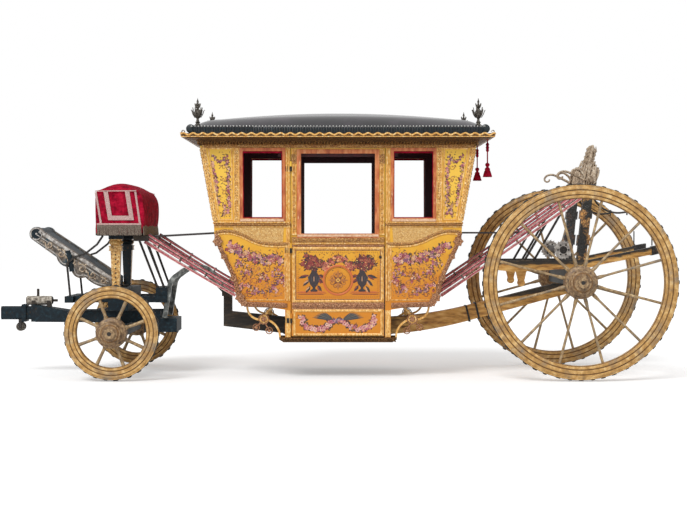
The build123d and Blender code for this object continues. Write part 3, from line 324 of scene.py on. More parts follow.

# %% [markdown]
# The cabin's boards are gold outside and lined with dark crimson silk inside. One material
# does both: the sloping side's own line, 4.5 degrees from upright, tells which points lie
# deeper than half the board. The ground runs from lemon gold under the cornice to a deep
# orange at the sill.


# %% The varnished ground of the panels
def panel_ground(name, top, middle, bottom, unlined):
    """Gold ground that drifts with height, with cracks, and silk inside above `unlined`."""
    material, tree = blank(name)
    place = add(tree, "TexCoord")
    axes = add(tree, "SeparateXYZ", {0: place.outputs["Object"]})
    clouds = add(tree, "TexNoise", {"Vector": place.outputs["Object"]}, Scale=9.0, Detail=7.0)
    height = add(tree, "MapRange", {"Value": axes.outputs["Z"]}, From_Min=0.38, From_Max=2.1)
    drift = add(tree, "Math", {0: clouds, 1: 0.3, 2: height}, operation="MULTIPLY_ADD")
    shade = add(tree, "ValToRGB", {"Fac": drift},
                stops=[(0.12, bottom), (0.45, bottom), (0.62, middle), (1.0, top)])
    cracks = add(tree, "TexVoronoi", {"Vector": place.outputs["Object"]}, Scale=160.0,
                 feature="DISTANCE_TO_EDGE")
    line = add(tree, "ValToRGB", {"Fac": cracks.outputs["Distance"]},
               stops=[(0.0, 0.55), (0.06, 1.0)])
    aged = add(tree, "Mix", {0: 0.35, 6: shade, 7: line}, data_type="RGBA", blend_type="MULTIPLY")
    half_board = 0.012
    side = add(tree, "Math", {0: axes.outputs["Y"]}, operation="ABSOLUTE")
    slope = add(tree, "Math", {0: axes.outputs["Z"], 1: -tan(side_lean),
                               2: cabin_top * tan(side_lean) - half_top + half_board},
                operation="MULTIPLY_ADD")
    depth = add(tree, "Math", {0: side, 1: slope}, operation="ADD")
    end = add(tree, "Math", {0: axes.outputs["X"], 1: cabin_x}, operation="SUBTRACT")
    end = add(tree, "Math", {0: end}, operation="ABSOLUTE")
    shown = add(tree, "Math", {0: depth, 1: 0.0}, operation="GREATER_THAN")
    below = add(tree, "Math", {0: axes.outputs["Z"], 1: unlined}, operation="LESS_THAN")
    shown = add(tree, "Math", {0: shown, 1: below}, operation="MAXIMUM")
    # An end board's outer face leans too, and faster below the belt. Each leaning line lies
    # inside the board, so only what is beyond one of them is outside the cabin
    for lean, reach in ((-0.176, 0.868), (-0.458, 0.512)):
        line_x = add(tree, "Math", {0: axes.outputs["Z"], 1: lean, 2: end}, operation="MULTIPLY_ADD")
        beyond = add(tree, "Math", {0: line_x, 1: reach}, operation="GREATER_THAN")
        shown = add(tree, "Math", {0: shown, 1: beyond}, operation="MAXIMUM")
    cloth = add(tree, "Mix", {0: shown, 6: linear("4A0E18"), 7: aged.outputs[2]}, data_type="RGBA")
    gloss = add(tree, "MapRange", {"Value": clouds}, To_Min=0.3, To_Max=0.5)
    bump = add(tree, "Bump", {"Height": line}, Strength=0.4, Distance=0.0004)
    skin = add(tree, "BsdfPrincipled", {"Base Color": cloth.outputs[2],
               "Roughness": gloss, "Normal": bump})
    add(tree, "OutputMaterial", {"Surface": skin})
    return material


ground = panel_ground("varnished_gold_ground", "F0C246", "E2A62B", "D2841A", 0.95)
lined_ground = panel_ground("varnished_gold_lined_with_silk", "F0C246", "E2A62B", "D2841A", 0.30)

# %% [markdown]
# The perch is one beam whose front half is black with tar and whose rear half is ochre. Its
# colour follows X, with a ragged edge from noise. Above a sloping line the ochre turns black
# again: painted shade along the top of the rising beams.


# %% Perch and beam finish
def timber_paint(name, slope, level, least):
    """Ochred oak with a tarred front, and painted shade in black above the line Z = slope * X + level, or
    `least`.
    """
    material, tree = blank(name)
    place = add(tree, "TexCoord")
    axes = add(tree, "SeparateXYZ", {0: place.outputs["Object"]})
    grain = add(tree, "Mapping", {"Vector": place.outputs["Object"]}, Scale=(0.25, 1, 1))
    fibre = add(tree, "TexNoise", {"Vector": grain}, Scale=38.0, Detail=7.0)
    ochre = add(tree, "ValToRGB", {"Fac": fibre},
                stops=[(0.30, "86592A"), (0.5, "C8944A"), (0.72, "E6BC74")])
    tar_and_shade = add(tree, "ValToRGB", {"Fac": fibre},
              stops=[(0.32, "15120E"), (0.55, "2C241A"), (0.75, "5A4A34")])
    edge = add(tree, "Math", {0: fibre, 1: 0.8, 2: axes.outputs["X"]}, operation="MULTIPLY_ADD")
    where = add(tree, "MapRange", {"Value": edge}, From_Min=0.75, From_Max=1.25)
    # Painted shade: above this sloping line the ochre turns black
    line = add(tree, "Math", {0: axes.outputs["X"], 1: slope, 2: level}, operation="MULTIPLY_ADD")
    line = add(tree, "Math", {0: line, 1: least}, operation="MAXIMUM")
    above = add(tree, "Math", {0: axes.outputs["Z"], 1: line}, operation="SUBTRACT")
    ragged = add(tree, "Math", {0: fibre, 1: 0.08, 2: above}, operation="MULTIPLY_ADD")
    below_shade_line = add(tree, "MapRange", {"Value": ragged}, From_Min=0.034, From_Max=0.050,
                To_Min=1.0, To_Max=0.0)
    both = add(tree, "Math", {0: where, 1: below_shade_line}, operation="MULTIPLY")
    mixed = add(tree, "Mix", {0: both, 6: tar_and_shade, 7: ochre},
                data_type="RGBA")
    bump = add(tree, "Bump", {"Height": fibre}, Strength=0.7, Distance=0.002)
    skin = add(tree, "BsdfPrincipled", {"Base Color": mixed.outputs[2], "Normal": bump},
               Roughness=0.6)
    add(tree, "OutputMaterial", {"Surface": skin})
    return material


perch_paint = timber_paint("tarred_and_ochred_oak", 0.12, 0.526, 0.0)
beam_paint = timber_paint("ochred_beam_with_black_top", 0.197, 0.596, 1.050)

# %% Give each solid part its finish
node_finish = {
    "perch": perch_paint, "crane_necks": pale_iron, "fore_platform": blue_black,
    "front_standards": front_post, "seat_frame": dark_oak, "hammercloth": velvet,
    "seat_stays": iron, "footboard": blue_black, "footboard_cheeks": grey_carving,
    "front_axle": front_axle_paint, "rear_axle": rear_axle_paint, "futchells": blue_black,
    "pole_head": blue_black,
    "turning_plate": iron, "kingpin": iron, "rear_beams": beam_paint, "rear_standards": rear_post,
    "rear_crest": bleached_wood, "windlass": iron, "front_straps": rose_leather,
    "rear_straps": rose_leather, "cabin_floor": dark_oak, "step_wells": ground,
    "step_bases": brown_gilt, "door_hinges": iron, "benches": dark_oak, "bench_cushions": velvet,
    "cornice": carved_gilt, "ceiling": lining, "roof": roof_leather, "roof_finials": bronze,
    "rear_stays": iron, "footboard_stays": iron, "bound_bar": dark_oak, "body_scrolls": plain_gilt,
    "check_straps": black_leather, "tassel_cord_left": velvet, "tassel_cord_right": velvet,
    "tassel_left": velvet, "tassel_right": velvet,
}
for name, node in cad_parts.items():
    if name.startswith("end_wall"):
        node_finish[name] = ground
    elif name.startswith(("side_panel", "door_left", "door_right")):
        node_finish[name] = lined_ground
    elif name.endswith(("wheel_left", "wheel_right")):
        node_finish[name] = wheel_ochre
    elif name.endswith(("tyre_left", "tyre_right")):
        node_finish[name] = tyre_iron
    for number in range(len(node.material_slots)):
        node.material_slots[number].material = node_finish[name]
print("solid parts with a finish:", len(node_finish))

# %% [markdown]
# ## Relief on the sloping sides
# Mouldings, carving and flowers are laid out flat, as a carver would on the bench: x from the
# cabin's middle, z up, and `out` from the board. One function then stands each point on the
# left or right side, which leans out by 4.5 degrees. A moulding is a section carried along a
# path with mitred corners. Mesh code does this, because a curve's bevel can't mitre a corner
# cleanly, and a painted flower is the same few faces hundreds of times over.

# %% A bench for relief
# Faces of a box whose eight points run through length, then height, then depth
box_faces = [[0, 1, 3, 2], [4, 6, 7, 5], [0, 4, 5, 1], [2, 3, 7, 6], [0, 2, 6, 4], [1, 5, 7, 3]]
# Closed moulding sections of width and height 1: (across, out) points, from below the board
sections = {
    "ogee": [(-0.5, -0.2), (-0.5, 0.35), (-0.34, 0.5), (-0.16, 0.92), (0.08, 1.0), (0.3, 0.7),
             (0.36, 0.4), (0.5, 0.3), (0.5, -0.2)],
    "round": [(-0.5, -0.2), (-0.42, 0.55), (-0.2, 0.95), (0.2, 0.95), (0.42, 0.55), (0.5, -0.2)],
    "flat": [(-0.5, -0.2), (-0.5, 0.8), (-0.4, 1.0), (0.4, 1.0), (0.5, 0.8), (0.5, -0.2)],
    "hollow": [(-0.5, -0.2), (-0.5, 1.0), (-0.38, 1.0), (-0.25, 0.45), (0.25, 0.45), (0.38, 1.0),
               (0.5, 1.0), (0.5, -0.2)],
}


def side_y(z):
    """Half width of the cabin's outer face at height z."""
    return half_top - (cabin_top - z) * tan(side_lean)


def circle(x, z, radius, count):
    """Points evenly round a circle."""
    turns = [2 * pi * i / count for i in range(count)]
    return [(x + radius * cos(turn), z + radius * sin(turn)) for turn in turns]


def for_side(faces, side):
    """Turns faces over for the right side (1), where the points are mirrored."""
    return faces if side < 0 else [face[::-1] for face in faces]


class Relief:
    """Faces in a side's flat coordinates, each with a tint, to be stood on both sides."""

    def __init__(self):
        self.points, self.faces, self.tints = [], [], []

    def add(self, points, faces, tint="808080"):
        first = len(self.points)
        self.points += points
        self.faces += [[first + i for i in face] for face in faces]
        self.tints += [tint] * len(faces)

    def moulding(self, path, section, closed=False, tint="808080"):
        """Carries a section (width, height, kind) along a path of (x, z) points."""
        width, height, kind = section
        section = [(a * width, o * height) for a, o in sections[kind]]
        count, points, faces = len(path), [], []
        for i, (x, z) in enumerate(path):
            before = path[i - 1] if (i or closed) else path[i]
            after = path[(i + 1) % count] if (i < count - 1 or closed) else path[i]
            if before == path[i]:
                before = (2 * x - after[0], 2 * z - after[1])
            if after == path[i]:
                after = (2 * x - before[0], 2 * z - before[1])
            first = Vector((x - before[0], z - before[1])).normalized()
            second = Vector((after[0] - x, after[1] - z)).normalized()
            along = (first + second).normalized()
            stretch = 1 / max(0.35, along.dot(second))
            normal = Vector((-along.y, along.x)) * stretch
            points += [(x + normal.x * a, z + normal.y * a, o) for a, o in section]
        size = len(section)
        for i in range(count if closed else count - 1):
            base, top = i * size, ((i + 1) % count) * size
            for j in range(size):
                k = (j + 1) % size
                faces.append([base + j, top + j, top + k, base + k])
        if not closed:
            faces.append(list(range(size)))
            faces.append([(count - 1) * size + j for j in reversed(range(size))])
        self.add(points, faces, tint)

    def bead(self, x, z, radius, height, tint="808080", sides=6):
        """A low dome, such as a carved pearl."""
        points = [(x, z, height)]
        # A ring half way up the dome and one just below the board
        for share, rise in ((0.6, 0.75), (1.0, -0.1)):
            points += [(a, b, height * rise) for a, b in circle(x, z, radius * share, sides)]
        faces = [[0, 1 + i, 1 + (i + 1) % sides] for i in range(sides)]
        faces += [[1 + i, 1 + sides + i, 1 + sides + (i + 1) % sides, 1 + (i + 1) % sides]
                  for i in range(sides)]
        self.add(points, faces, tint)

    def leaf(self, x, z, turn, length, width, height, tint="808080"):
        """A pointed leaf with a raised rib, growing from (x, z) in the direction turn."""
        shape = [(0, 0, 0.2), (0.35, 0.5, 0.35), (0.35, -0.5, 0.35), (0.7, 0.36, 0.45),
                 (0.7, -0.36, 0.45), (1, 0, 0.1), (0.4, 0, 1.0), (0.75, 0, 0.8)]
        c, s = cos(turn), sin(turn)
        points = [(x + (a * length) * c - (b * width) * s, z + (a * length) * s + (b * width) * c, h * height)
                  for a, b, h in shape]
        self.add(points, [[0, 6, 1], [0, 2, 6], [1, 6, 7, 3], [2, 4, 7, 6], [3, 7, 5], [4, 5, 7]], tint)

    def flower(self, x, z, radius, turn, petal, heart, height=0.004, petals=5):
        """An open rose: a ring of rounded petals round a small raised heart."""
        count = petals * 2
        points = [(x, z, height)]
        for share, rise in ((0.34, 0.8), (0.9, 1.0), (1.0, 0.1)):
            for i in range(count):
                reach = radius * share * (1.0 if i % 2 or share < 0.5 else 0.74)
                angle = turn + 2 * pi * i / count
                points.append((x + reach * cos(angle), z + reach * sin(angle), height * rise))
        rings = [[1 + ring * count + i for i in range(count)] for ring in range(3)]
        self.add(points, [[0, rings[0][i], rings[0][(i + 1) % count]] for i in range(count)], heart)
        first = len(self.points) - len(points)
        for inner, outer_ring in ((0, 1), (1, 2)):
            for i in range(count):
                j = (i + 1) % count
                self.faces.append([first + rings[inner][i], first + rings[outer_ring][i],
                                   first + rings[outer_ring][j], first + rings[inner][j]])
                self.tints.append(petal)

    def stand(self, name, side, body, slot, material):
        """Stands the relief on the left (-1) or right (1) side as one finished piece."""
        places = [(cabin_x + x, side * (side_y(z) + o), z) for x, z, o in self.points]
        return make_piece(name, places, for_side(self.faces, side), body, material, self.tints)


def make_piece(name, places, faces, body, material, tints=None, smooth=35):
    """A finished mesh piece that rides on a body, with its material and optional tints."""
    mesh = bpy.data.meshes.new(name)
    mesh.from_pydata(places, [], faces)
    mesh.materials.append(material)
    if tints:
        layer = mesh.color_attributes.new("tint", "FLOAT_COLOR", "CORNER")
        known = {tint: linear(tint) for tint in set(tints)}
        for face, tint in zip(mesh.polygons, tints):
            for loop in face.loop_indices:
                layer.data[loop].color = known[tint]
    return ride_piece(put(name, mesh), body, smooth)


def pick(*pieces):
    """Selects only these pieces, and makes the first one active."""
    bpy.ops.object.select_all(action="DESELECT")
    for piece in pieces:
        piece.select_set(True)
    bpy.context.view_layer.objects.active = pieces[0]


def ride_piece(piece, body, smooth=35):
    """Shades a piece smooth up to an angle, and makes it ride on a body."""
    pick(piece)
    bpy.ops.object.shade_smooth_by_angle(angle=radians(smooth))
    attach(piece, body)
    return piece


def frame_path(x0, x1, z0, z1):
    return [(x0, z0), (x0, z1), (x1, z1), (x1, z0)]


def smooth_path(points, steps=8):
    """A line of many points that passes smoothly through a few."""
    line = []
    for i in range(len(points) - 1):
        a, b, c, d = (Vector(points[max(0, min(len(points) - 1, i + k))]) for k in (-1, 0, 1, 2))
        for j in range(steps):
            t = j / steps
            line.append(tuple(0.5 * ((2 * b) + (c - a) * t + (2 * a - 5 * b + 4 * c - d) * t * t
                                     + (3 * b - a - 3 * c + d) * t ** 3)))
    return line + [tuple(points[-1])]


def walk(path, spacing, closed=False):
    """Places (x, z, direction) at even spacing along a path."""
    ends = list(zip(path, path[1:] + path[:1])) if closed else list(zip(path, path[1:]))
    places, left = [], spacing / 2
    for (x0, z0), (x1, z1) in ends:
        length, turn = hypot(x1 - x0, z1 - z0), atan2(z1 - z0, x1 - x0)
        at = left
        while at < length:
            places.append((x0 + (x1 - x0) * at / length, z0 + (z1 - z0) * at / length, turn))
            at += spacing
        left = at - length
    return places


def carve(relief, path, width, height, spacing, closed=False, out=0.0):
    """A row of leaf pairs and pearls along a path, as on a carved moulding."""
    for number, (x, z, turn) in enumerate(walk(path, spacing, closed)):
        for lean in (0.6, -0.6):
            relief.leaf(x, z, turn + lean, spacing * 1.05, width * 0.42, out + height)
        if number % 2:
            relief.bead(x, z, width * 0.2, out + height * 1.2)


petals = ["B86A78", "CC8E8C", "93465A", "DDB09A", "7C5270", "A84A3E", "CC9A6A", "6E2C36", "C27A80"]
greens = ["3E3218", "5C4420", "2A241E", "6E381C", "24262C"]


def garland(relief, path, width, spacing, seed, size=0.016, palette=petals, leaves=greens):
    """Roses and leaves scattered along a path, thicker where the width is larger."""
    chance = Random(seed)
    for x, z, turn in walk(path, spacing):
        across = chance.uniform(-0.5, 0.5) * width
        px, pz = x - sin(turn) * across, z + cos(turn) * across
        for _ in range(2):
            relief.leaf(px, pz, chance.uniform(0, 2 * pi), size * chance.uniform(1.3, 2.2),
                        size * 0.8, 0.0022, chance.choice(leaves))
        if chance.random() < 0.8:
            relief.flower(px, pz, size * chance.uniform(0.6, 1.15), chance.uniform(0, pi),
                          chance.choice(palette), chance.choice(["7A2434", "5A2A1A", "E8C070"]), 0.0035)


def scroll(relief, x, z, size, turn, hand, tint):
    """A painted curl that tapers inwards, with a leaf at its root."""
    line = []
    for i in range(15):
        angle, reach = turn + hand * i * 0.42, size * (1 - i / 19)
        line.append((x + reach * cos(angle), z + reach * sin(angle)))
    relief.moulding(line, (0.007, 0.0022, "round"), False, tint)
    relief.leaf(*line[0], turn + hand * 0.9, size * 0.7, size * 0.3, 0.003, tint)
    relief.bead(*line[-1], 0.006, 0.004, tint)


def scatter(relief, e, box, count, seed, tints=("9A6226", "7A431C", "5A3A1C", "B87A34", "3A2A1E")):
    """Small painted leaves strewn over a box that narrows downwards like the cabin's end."""
    chance = Random(seed)
    x0, x1, z0, z1 = box
    for _ in range(count):
        z = chance.uniform(z0, z1)
        x = chance.uniform(x0, x1 - max(0.0, 1.0 - z) * 0.33)
        relief.leaf(e * x, z, chance.uniform(0, 2 * pi), chance.uniform(0.010, 0.024),
                    chance.uniform(0.005, 0.009), 0.0016, chance.choice(tints))


scroll_places = [(0.55, 1.03, 0.040, 0.5), (0.66, 1.01, 0.046, 2.4), (0.78, 1.03, 0.044, 0.2),
                 (0.90, 1.08, 0.040, 2.0), (0.54, 0.90, 0.036, 3.0), (0.65, 0.87, 0.042, 0.8),
                 (0.77, 0.90, 0.046, 4.0), (0.87, 0.93, 0.036, 1.6), (0.56, 0.79, 0.032, 0.2),
                 (0.68, 0.77, 0.030, 2.2), (0.82, 0.78, 0.034, 0.9)]
print("the bench for relief is ready")

# %% [markdown]
# ## Carving and paint of the side panels
# Ahead of and behind each door the panel has a salmon window frame, a gilt post, a tall yellow
# corner field with strands of flowers, a carved moulding along the slanted end, a belt, a
# punched panel over a double curve, a painted field with a thick garland, and a leafy sill.

# %% Side panels
for side_name, side in both_sides:
    for end_name, e in both_ends:
        def run(points):
            """Mirrors a path for the front end and keeps its sense of direction."""
            return [(e * x, z) for x, z in points][::e]

        gilt, carving, rosy, diaper, salmon, sill, flowers = (Relief() for _ in range(7))
        # Salmon frame round the window, its light sill, and gilt posts either side
        salmon.moulding(run(frame_path(0.497, 0.888, 1.472, 2.112)), (0.030, 0.011, "flat"), True)
        sill.moulding(run([(0.500, 1.466), (0.900, 1.466)]), (0.024, 0.016, "flat"))
        gilt.moulding(run([(0.930, 1.462), (0.930, 2.131)]), (0.052, 0.012, "hollow"))
        gilt.moulding(run([(0.450, 0.720), (0.450, 2.122)]), (0.020, 0.012, "round"))
        gilt.moulding(run([(0.470, 0.720), (0.470, 2.122)]), (0.016, 0.008, "round"))
        carve(carving, run([(0.930, 1.47), (0.930, 2.12)]), 0.026, 0.010, 0.024)
        # Corner field: slim frame, strands of flowers and a swag at its head
        corner = [(0.974, 1.470), (0.974, 2.122), (1.190, 2.122), (1.088, 1.470)]
        gilt.moulding(run(corner), (0.016, 0.008, "round"), True)
        garland(flowers, run([(1.004, 1.52), (1.006, 1.80), (1.012, 2.02)]), 0.030, 0.013, 11, 0.015)
        garland(flowers, run([(1.092, 1.60), (1.120, 1.78), (1.148, 2.00)]), 0.026, 0.013, 12, 0.015)
        head = smooth_path([(1.01, 2.06), (1.085, 2.00), (1.15, 2.07)])
        garland(flowers, run(head), 0.018, 0.012, 13, 0.012)
        garland(flowers, run([(1.046, 1.50), (1.048, 1.62)]), 0.024, 0.014, 14, 0.013)
        scatter(flowers, e, (0.992, 1.085, 1.49, 2.10), 110, 17)
        for cz, turn in ((1.60, 0.4), (1.72, 2.2), (1.84, 0.9), (1.95, 2.8)):
            scroll(flowers, e * 1.052, cz, 0.026, turn, e, "B07A30")
        # Slanted end moulding, carved in leaves
        slant = [(1.126, 1.462), (1.236, 2.131)]
        gilt.moulding(run(slant), (0.050, 0.010, "ogee"))
        carve(carving, run(slant), 0.036, 0.013, 0.030)
        # The belt under the windows
        gilt.moulding(run([(0.436, 1.446), (1.138, 1.446)]), (0.018, 0.012, "round"))
        carving.moulding(run([(0.436, 1.424), (1.142, 1.424)]), (0.026, 0.018, "ogee"))
        carve(carving, run([(0.440, 1.424), (1.140, 1.424)]), 0.024, 0.021, 0.022)
        gilt.moulding(run([(0.436, 1.404), (1.140, 1.404)]), (0.012, 0.010, "round"))
        # Punched panel over the double curve
        curve = smooth_path([(0.440, 1.250), (0.560, 1.246), (0.680, 1.254), (0.790, 1.286),
                             (0.880, 1.330), (0.975, 1.362), (1.060, 1.366), (1.128, 1.352)])
        field = [(x, z + 0.012) for x, z in curve if 0.500 < x < 0.965] + [(0.965, 1.397), (0.500, 1.397)]
        flat = [(e * x, z) for x, z in field][::e]
        count = len(flat)
        diaper.add([(x, z, 0.004) for x, z in flat] + [(x, z, -0.002) for x, z in flat],
                   [list(range(count))] + [[i, count + i, count + (i + 1) % count, (i + 1) % count]
                                           for i in range(count)])
        carving.moulding(run(curve), (0.030, 0.014, "ogee"))
        gilt.moulding(run([(x, z - 0.024) for x, z in curve]), (0.016, 0.009, "round"))
        # Painted field: slim frame line, thick garland along its head, sprays below
        gilt.moulding(run([(0.488, 0.735), (0.488, 1.215)]), (0.012, 0.007, "round"))
        gilt.moulding(run([(0.488, 0.728), (0.872, 0.728)]), (0.012, 0.007, "round"))
        head = smooth_path([(0.520, 1.085), (0.600, 1.115), (0.690, 1.100), (0.780, 1.125),
                            (0.870, 1.160), (0.960, 1.205), (1.020, 1.240)])
        scatter(flowers, e, (0.50, 0.965, 0.745, 1.20), 420, 19)
        for number, (cx, cz, size, turn) in enumerate(scroll_places):
            scroll(flowers, e * cx, cz, size, turn, e, ["A2582A", "7A3A1E", "B4703A"][number % 3])
        garland(flowers, run(head), 0.085, 0.0085, 21, 0.018)
        garland(flowers, run(head), 0.060, 0.0100, 22, 0.022)
        for number, (cx, cz) in enumerate([(0.56, 0.97), (0.70, 0.93), (0.84, 0.98), (0.60, 0.83),
                                           (0.75, 0.81), (0.86, 0.84), (0.90, 1.06), (0.52, 0.88)]):
            spray = smooth_path([(cx - 0.045, cz - 0.03), (cx, cz + 0.03), (cx + 0.045, cz - 0.022)])
            garland(flowers, run(spray), 0.055, 0.009, 30 + number, 0.014)
        # Leaves up the curved end, a boss at the foot, and the leafy sill
        edge = smooth_path([(0.876, 0.712), (0.915, 0.765), (0.938, 0.868), (0.972, 0.965),
                            (1.030, 1.095), (1.082, 1.205), (1.110, 1.285), (1.122, 1.345)])
        rosy.moulding(run(edge), (0.040, 0.012, "round"))
        carve(rosy, run(edge), 0.060, 0.020, 0.034)
        rosy.moulding(run([(0.492, 0.678), (0.868, 0.690)]), (0.052, 0.016, "round"))
        carve(rosy, run([(0.492, 0.678), (0.868, 0.690)]), 0.060, 0.024, 0.030)
        for bx, bz, size in ((0.905, 0.752, 0.060), (1.108, 1.270, 0.060), (1.050, 1.130, 0.042),
                             (0.965, 0.930, 0.044), (0.872, 0.705, 0.050)):
            rosy.flower(e * bx, bz, size * 0.86, bx * 9, "808080", "808080", 0.026, 6)
            rosy.bead(e * bx, bz, size * 0.36, 0.034, sides=10)
        # Red silk over the window head and down the frame's inner edge
        cloth = Relief()
        cloth.moulding(run([(0.514, 2.090), (0.872, 2.090)]), (0.020, 0.009, "round"))
        cloth.moulding(run(frame_path(0.514, 0.870, 1.490, 2.092)), (0.009, 0.013, "round"), True)

        label = f"{end_name}_{side_name}"
        for relief, kind, slot, material in (
            (gilt, "gilt_mouldings", "gilt_carving", plain_gilt),
            (carving, "carved_mouldings", "gilt_carving", carved_gilt),
            (rosy, "leafy_edge", "gilt_carving", rosy_gilt),
            (diaper, "punched_panel", "gilt_carving", diaper_gilt),
            (salmon, "window_frame", "painted_panel", salmon_beech),
            (sill, "window_sill", "painted_panel", pale_sill),
            (flowers, "painted_flowers", "painted_panel", flower_paint),
            (cloth, "window_cloth", "velvet", velvet),
        ):
            relief.stand(f"{kind}_{label}", side, "carriage", slot, material)
print("side panels dressed")

# %% [markdown]
# ## The doors
# Each door has reeded pilasters with carved capitals, a salmon window frame, a carved sill, and
# below it one wide painted field. Round medallions and vases of flowers are old stock patterns
# of coach painters, so the field gets a medallion of gilt scrolls between two vases of roses.

# %% Doors
for side_name, side in both_sides:
    body = f"door_{side_name}"
    gilt, carving, rosy, salmon, sill, flowers, medal = (Relief() for _ in range(7))
    for e in (-1, 1):
        for reed in (-0.0135, 0.0, 0.0135):
            gilt.moulding([(e * (0.404 + reed), 1.330), (e * (0.404 + reed), 2.118)],
                          (0.013, 0.011, "round"))
        carving.moulding([(e * 0.404, 1.985), (e * 0.404, 2.068)], (0.050, 0.013, "flat"))
        carve(carving, [(e * 0.404, 1.988), (e * 0.404, 2.066)], 0.044, 0.016, 0.02)
        gilt.moulding([(e * 0.404, 1.33), (e * 0.404, 1.345)], (0.050, 0.013, "flat"))
        for k in range(16):
            carving.bead(e * 0.404, 1.38 + k * 0.037, 0.008, 0.0145)
    salmon.moulding(frame_path(-0.359, 0.359, 1.322, 2.096), (0.040, 0.011, "flat"), True)
    sill.moulding([(-0.372, 1.324), (0.372, 1.324)], (0.022, 0.018, "flat"))
    carving.moulding([(-0.424, 1.286), (0.424, 1.286)], (0.050, 0.016, "ogee"))
    carve(carving, [(-0.420, 1.286), (0.420, 1.286)], 0.044, 0.019, 0.030)
    gilt.moulding([(-0.424, 1.252), (0.424, 1.252)], (0.014, 0.010, "round"))
    rosy.moulding([(-0.424, 1.231), (0.424, 1.231)], (0.022, 0.012, "round"))
    carve(rosy, [(-0.420, 1.231), (0.420, 1.231)], 0.020, 0.015, 0.018)
    # Slim frame of the painted field, with a dotted line inside it
    gilt.moulding(frame_path(-0.408, 0.408, 0.716, 1.208), (0.026, 0.011, "ogee"), True)
    rosy.moulding(frame_path(-0.390, 0.390, 0.734, 1.190), (0.008, 0.006, "round"), True)
    for x, z, turn in walk(frame_path(-0.368, 0.368, 0.756, 1.168), 0.018, True):
        medal.bead(x, z, 0.004, 0.003, "8A4A1E")
    scatter(flowers, 1, (-0.36, 0.36, 0.99, 1.17), 90, 23)
    # Medallion: an orange ring round a knot of gilt scrolls, the same on all four sides
    mid = 0.912
    ring = circle(0, mid, 0.134, 40)
    medal.moulding(ring[::-1], (0.018, 0.006, "round"), True, "C8642C")
    medal.moulding([(x * 0.88, mid + (z - mid) * 0.88) for x, z in ring][::-1],
                   (0.005, 0.004, "round"), True, "8A4A1E")
    for i in range(4):
        for hand in (1, -1):
            turn = i * pi / 2 + pi / 4
            scroll(medal, 0.058 * cos(turn + hand * 0.42), mid + 0.058 * sin(turn + hand * 0.42), 0.034,
                   turn + hand * 2.2, hand, ["8A5218", "A8682A"][i % 2])
        medal.leaf(0, mid, i * pi / 2, 0.095, 0.024, 0.004, "A8682A")
        medal.leaf(0, mid, i * pi / 2 + pi / 4, 0.060, 0.018, 0.005, "6E3A14")
    medal.flower(0, mid, 0.022, 0.2, "E3B050", "7A2A1A", 0.006, 8)
    crown = smooth_path([(-0.130, 1.010), (-0.08, 1.075), (0.0, 1.105), (0.08, 1.075), (0.130, 1.010)])
    garland(flowers, crown, 0.052, 0.0055, 51, 0.018, ["B85A48", "A04038", "D98A6A", "C87858"])
    # Blue-black vases of dark crimson roses to each side, on a reddish ground line
    dark = ["101C26", "1A242C", "3A1418", "4E1A1E", "20241E"]
    for e, seed in ((-1, 60), (1, 70)):
        vase = [(0.030, 0.806), (0.034, 0.818), (0.012, 0.832), (0.012, 0.846), (0.036, 0.874),
                (0.050, 0.916), (0.046, 0.952), (0.026, 0.984), (0.022, 1.006), (0.036, 1.022)]
        outline = [(e * 0.222 + a, z) for a, z in vase] + [(e * 0.222 - a, z) for a, z in reversed(vase)]
        flowers.add([(x, z, 0.0030) for x, z in outline], [list(range(len(outline)))], "0E1A24")
        for k in range(5):
            flowers.leaf(e * 0.222 + (k - 2) * 0.016, 0.880, pi / 2 + (2 - k) * 0.16, 0.085, 0.013,
                         0.0052, ["1E3040", "2A3C48", "C89A78"][k % 3])
        for k, (ax, az, angle, length) in enumerate([(0.270, 0.960, -0.3, 0.10), (0.262, 0.920, -0.8, 0.09),
                                                     (0.180, 0.960, 3.5, 0.06), (0.184, 0.930, 3.9, 0.07),
                                                     (0.255, 0.860, -1.0, 0.08), (0.190, 0.866, 4.1, 0.07)]):
            turn = angle if e > 0 else pi - angle
            flowers.leaf(e * ax, az, turn, length, 0.030, 0.004, dark[k % 5])
            flowers.leaf(e * ax, az - 0.006, turn - 0.25, length * 0.8, 0.020, 0.0045,
                         ["7A2A22", "C8946A", "8A3A2A"][k % 3])
        for number, (cx, cz, wide) in enumerate([(0.255, 1.110, 0.050), (0.290, 1.070, 0.065),
                                                 (0.215, 1.070, 0.060), (0.250, 1.030, 0.050),
                                                 (0.165, 1.050, 0.045)]):
            strand = [(e * (cx - 0.050), cz), (e * (cx + 0.050), cz + 0.008)]
            garland(flowers, strand, wide, 0.0048, seed + number, 0.018,
                    ["6A1A1E", "541418", "8A2A26", "2A1216", "A8503A"], dark)
        for k in range(22):
            flowers.leaf(e * (0.10 + 0.011 * k), 0.790 + 0.014 * sin(k * 2.1), (0.12 if e > 0 else pi - 0.12),
                         0.060, 0.008, 0.002, ["B4501E", "C8662A", "8A3A16"][k % 3])
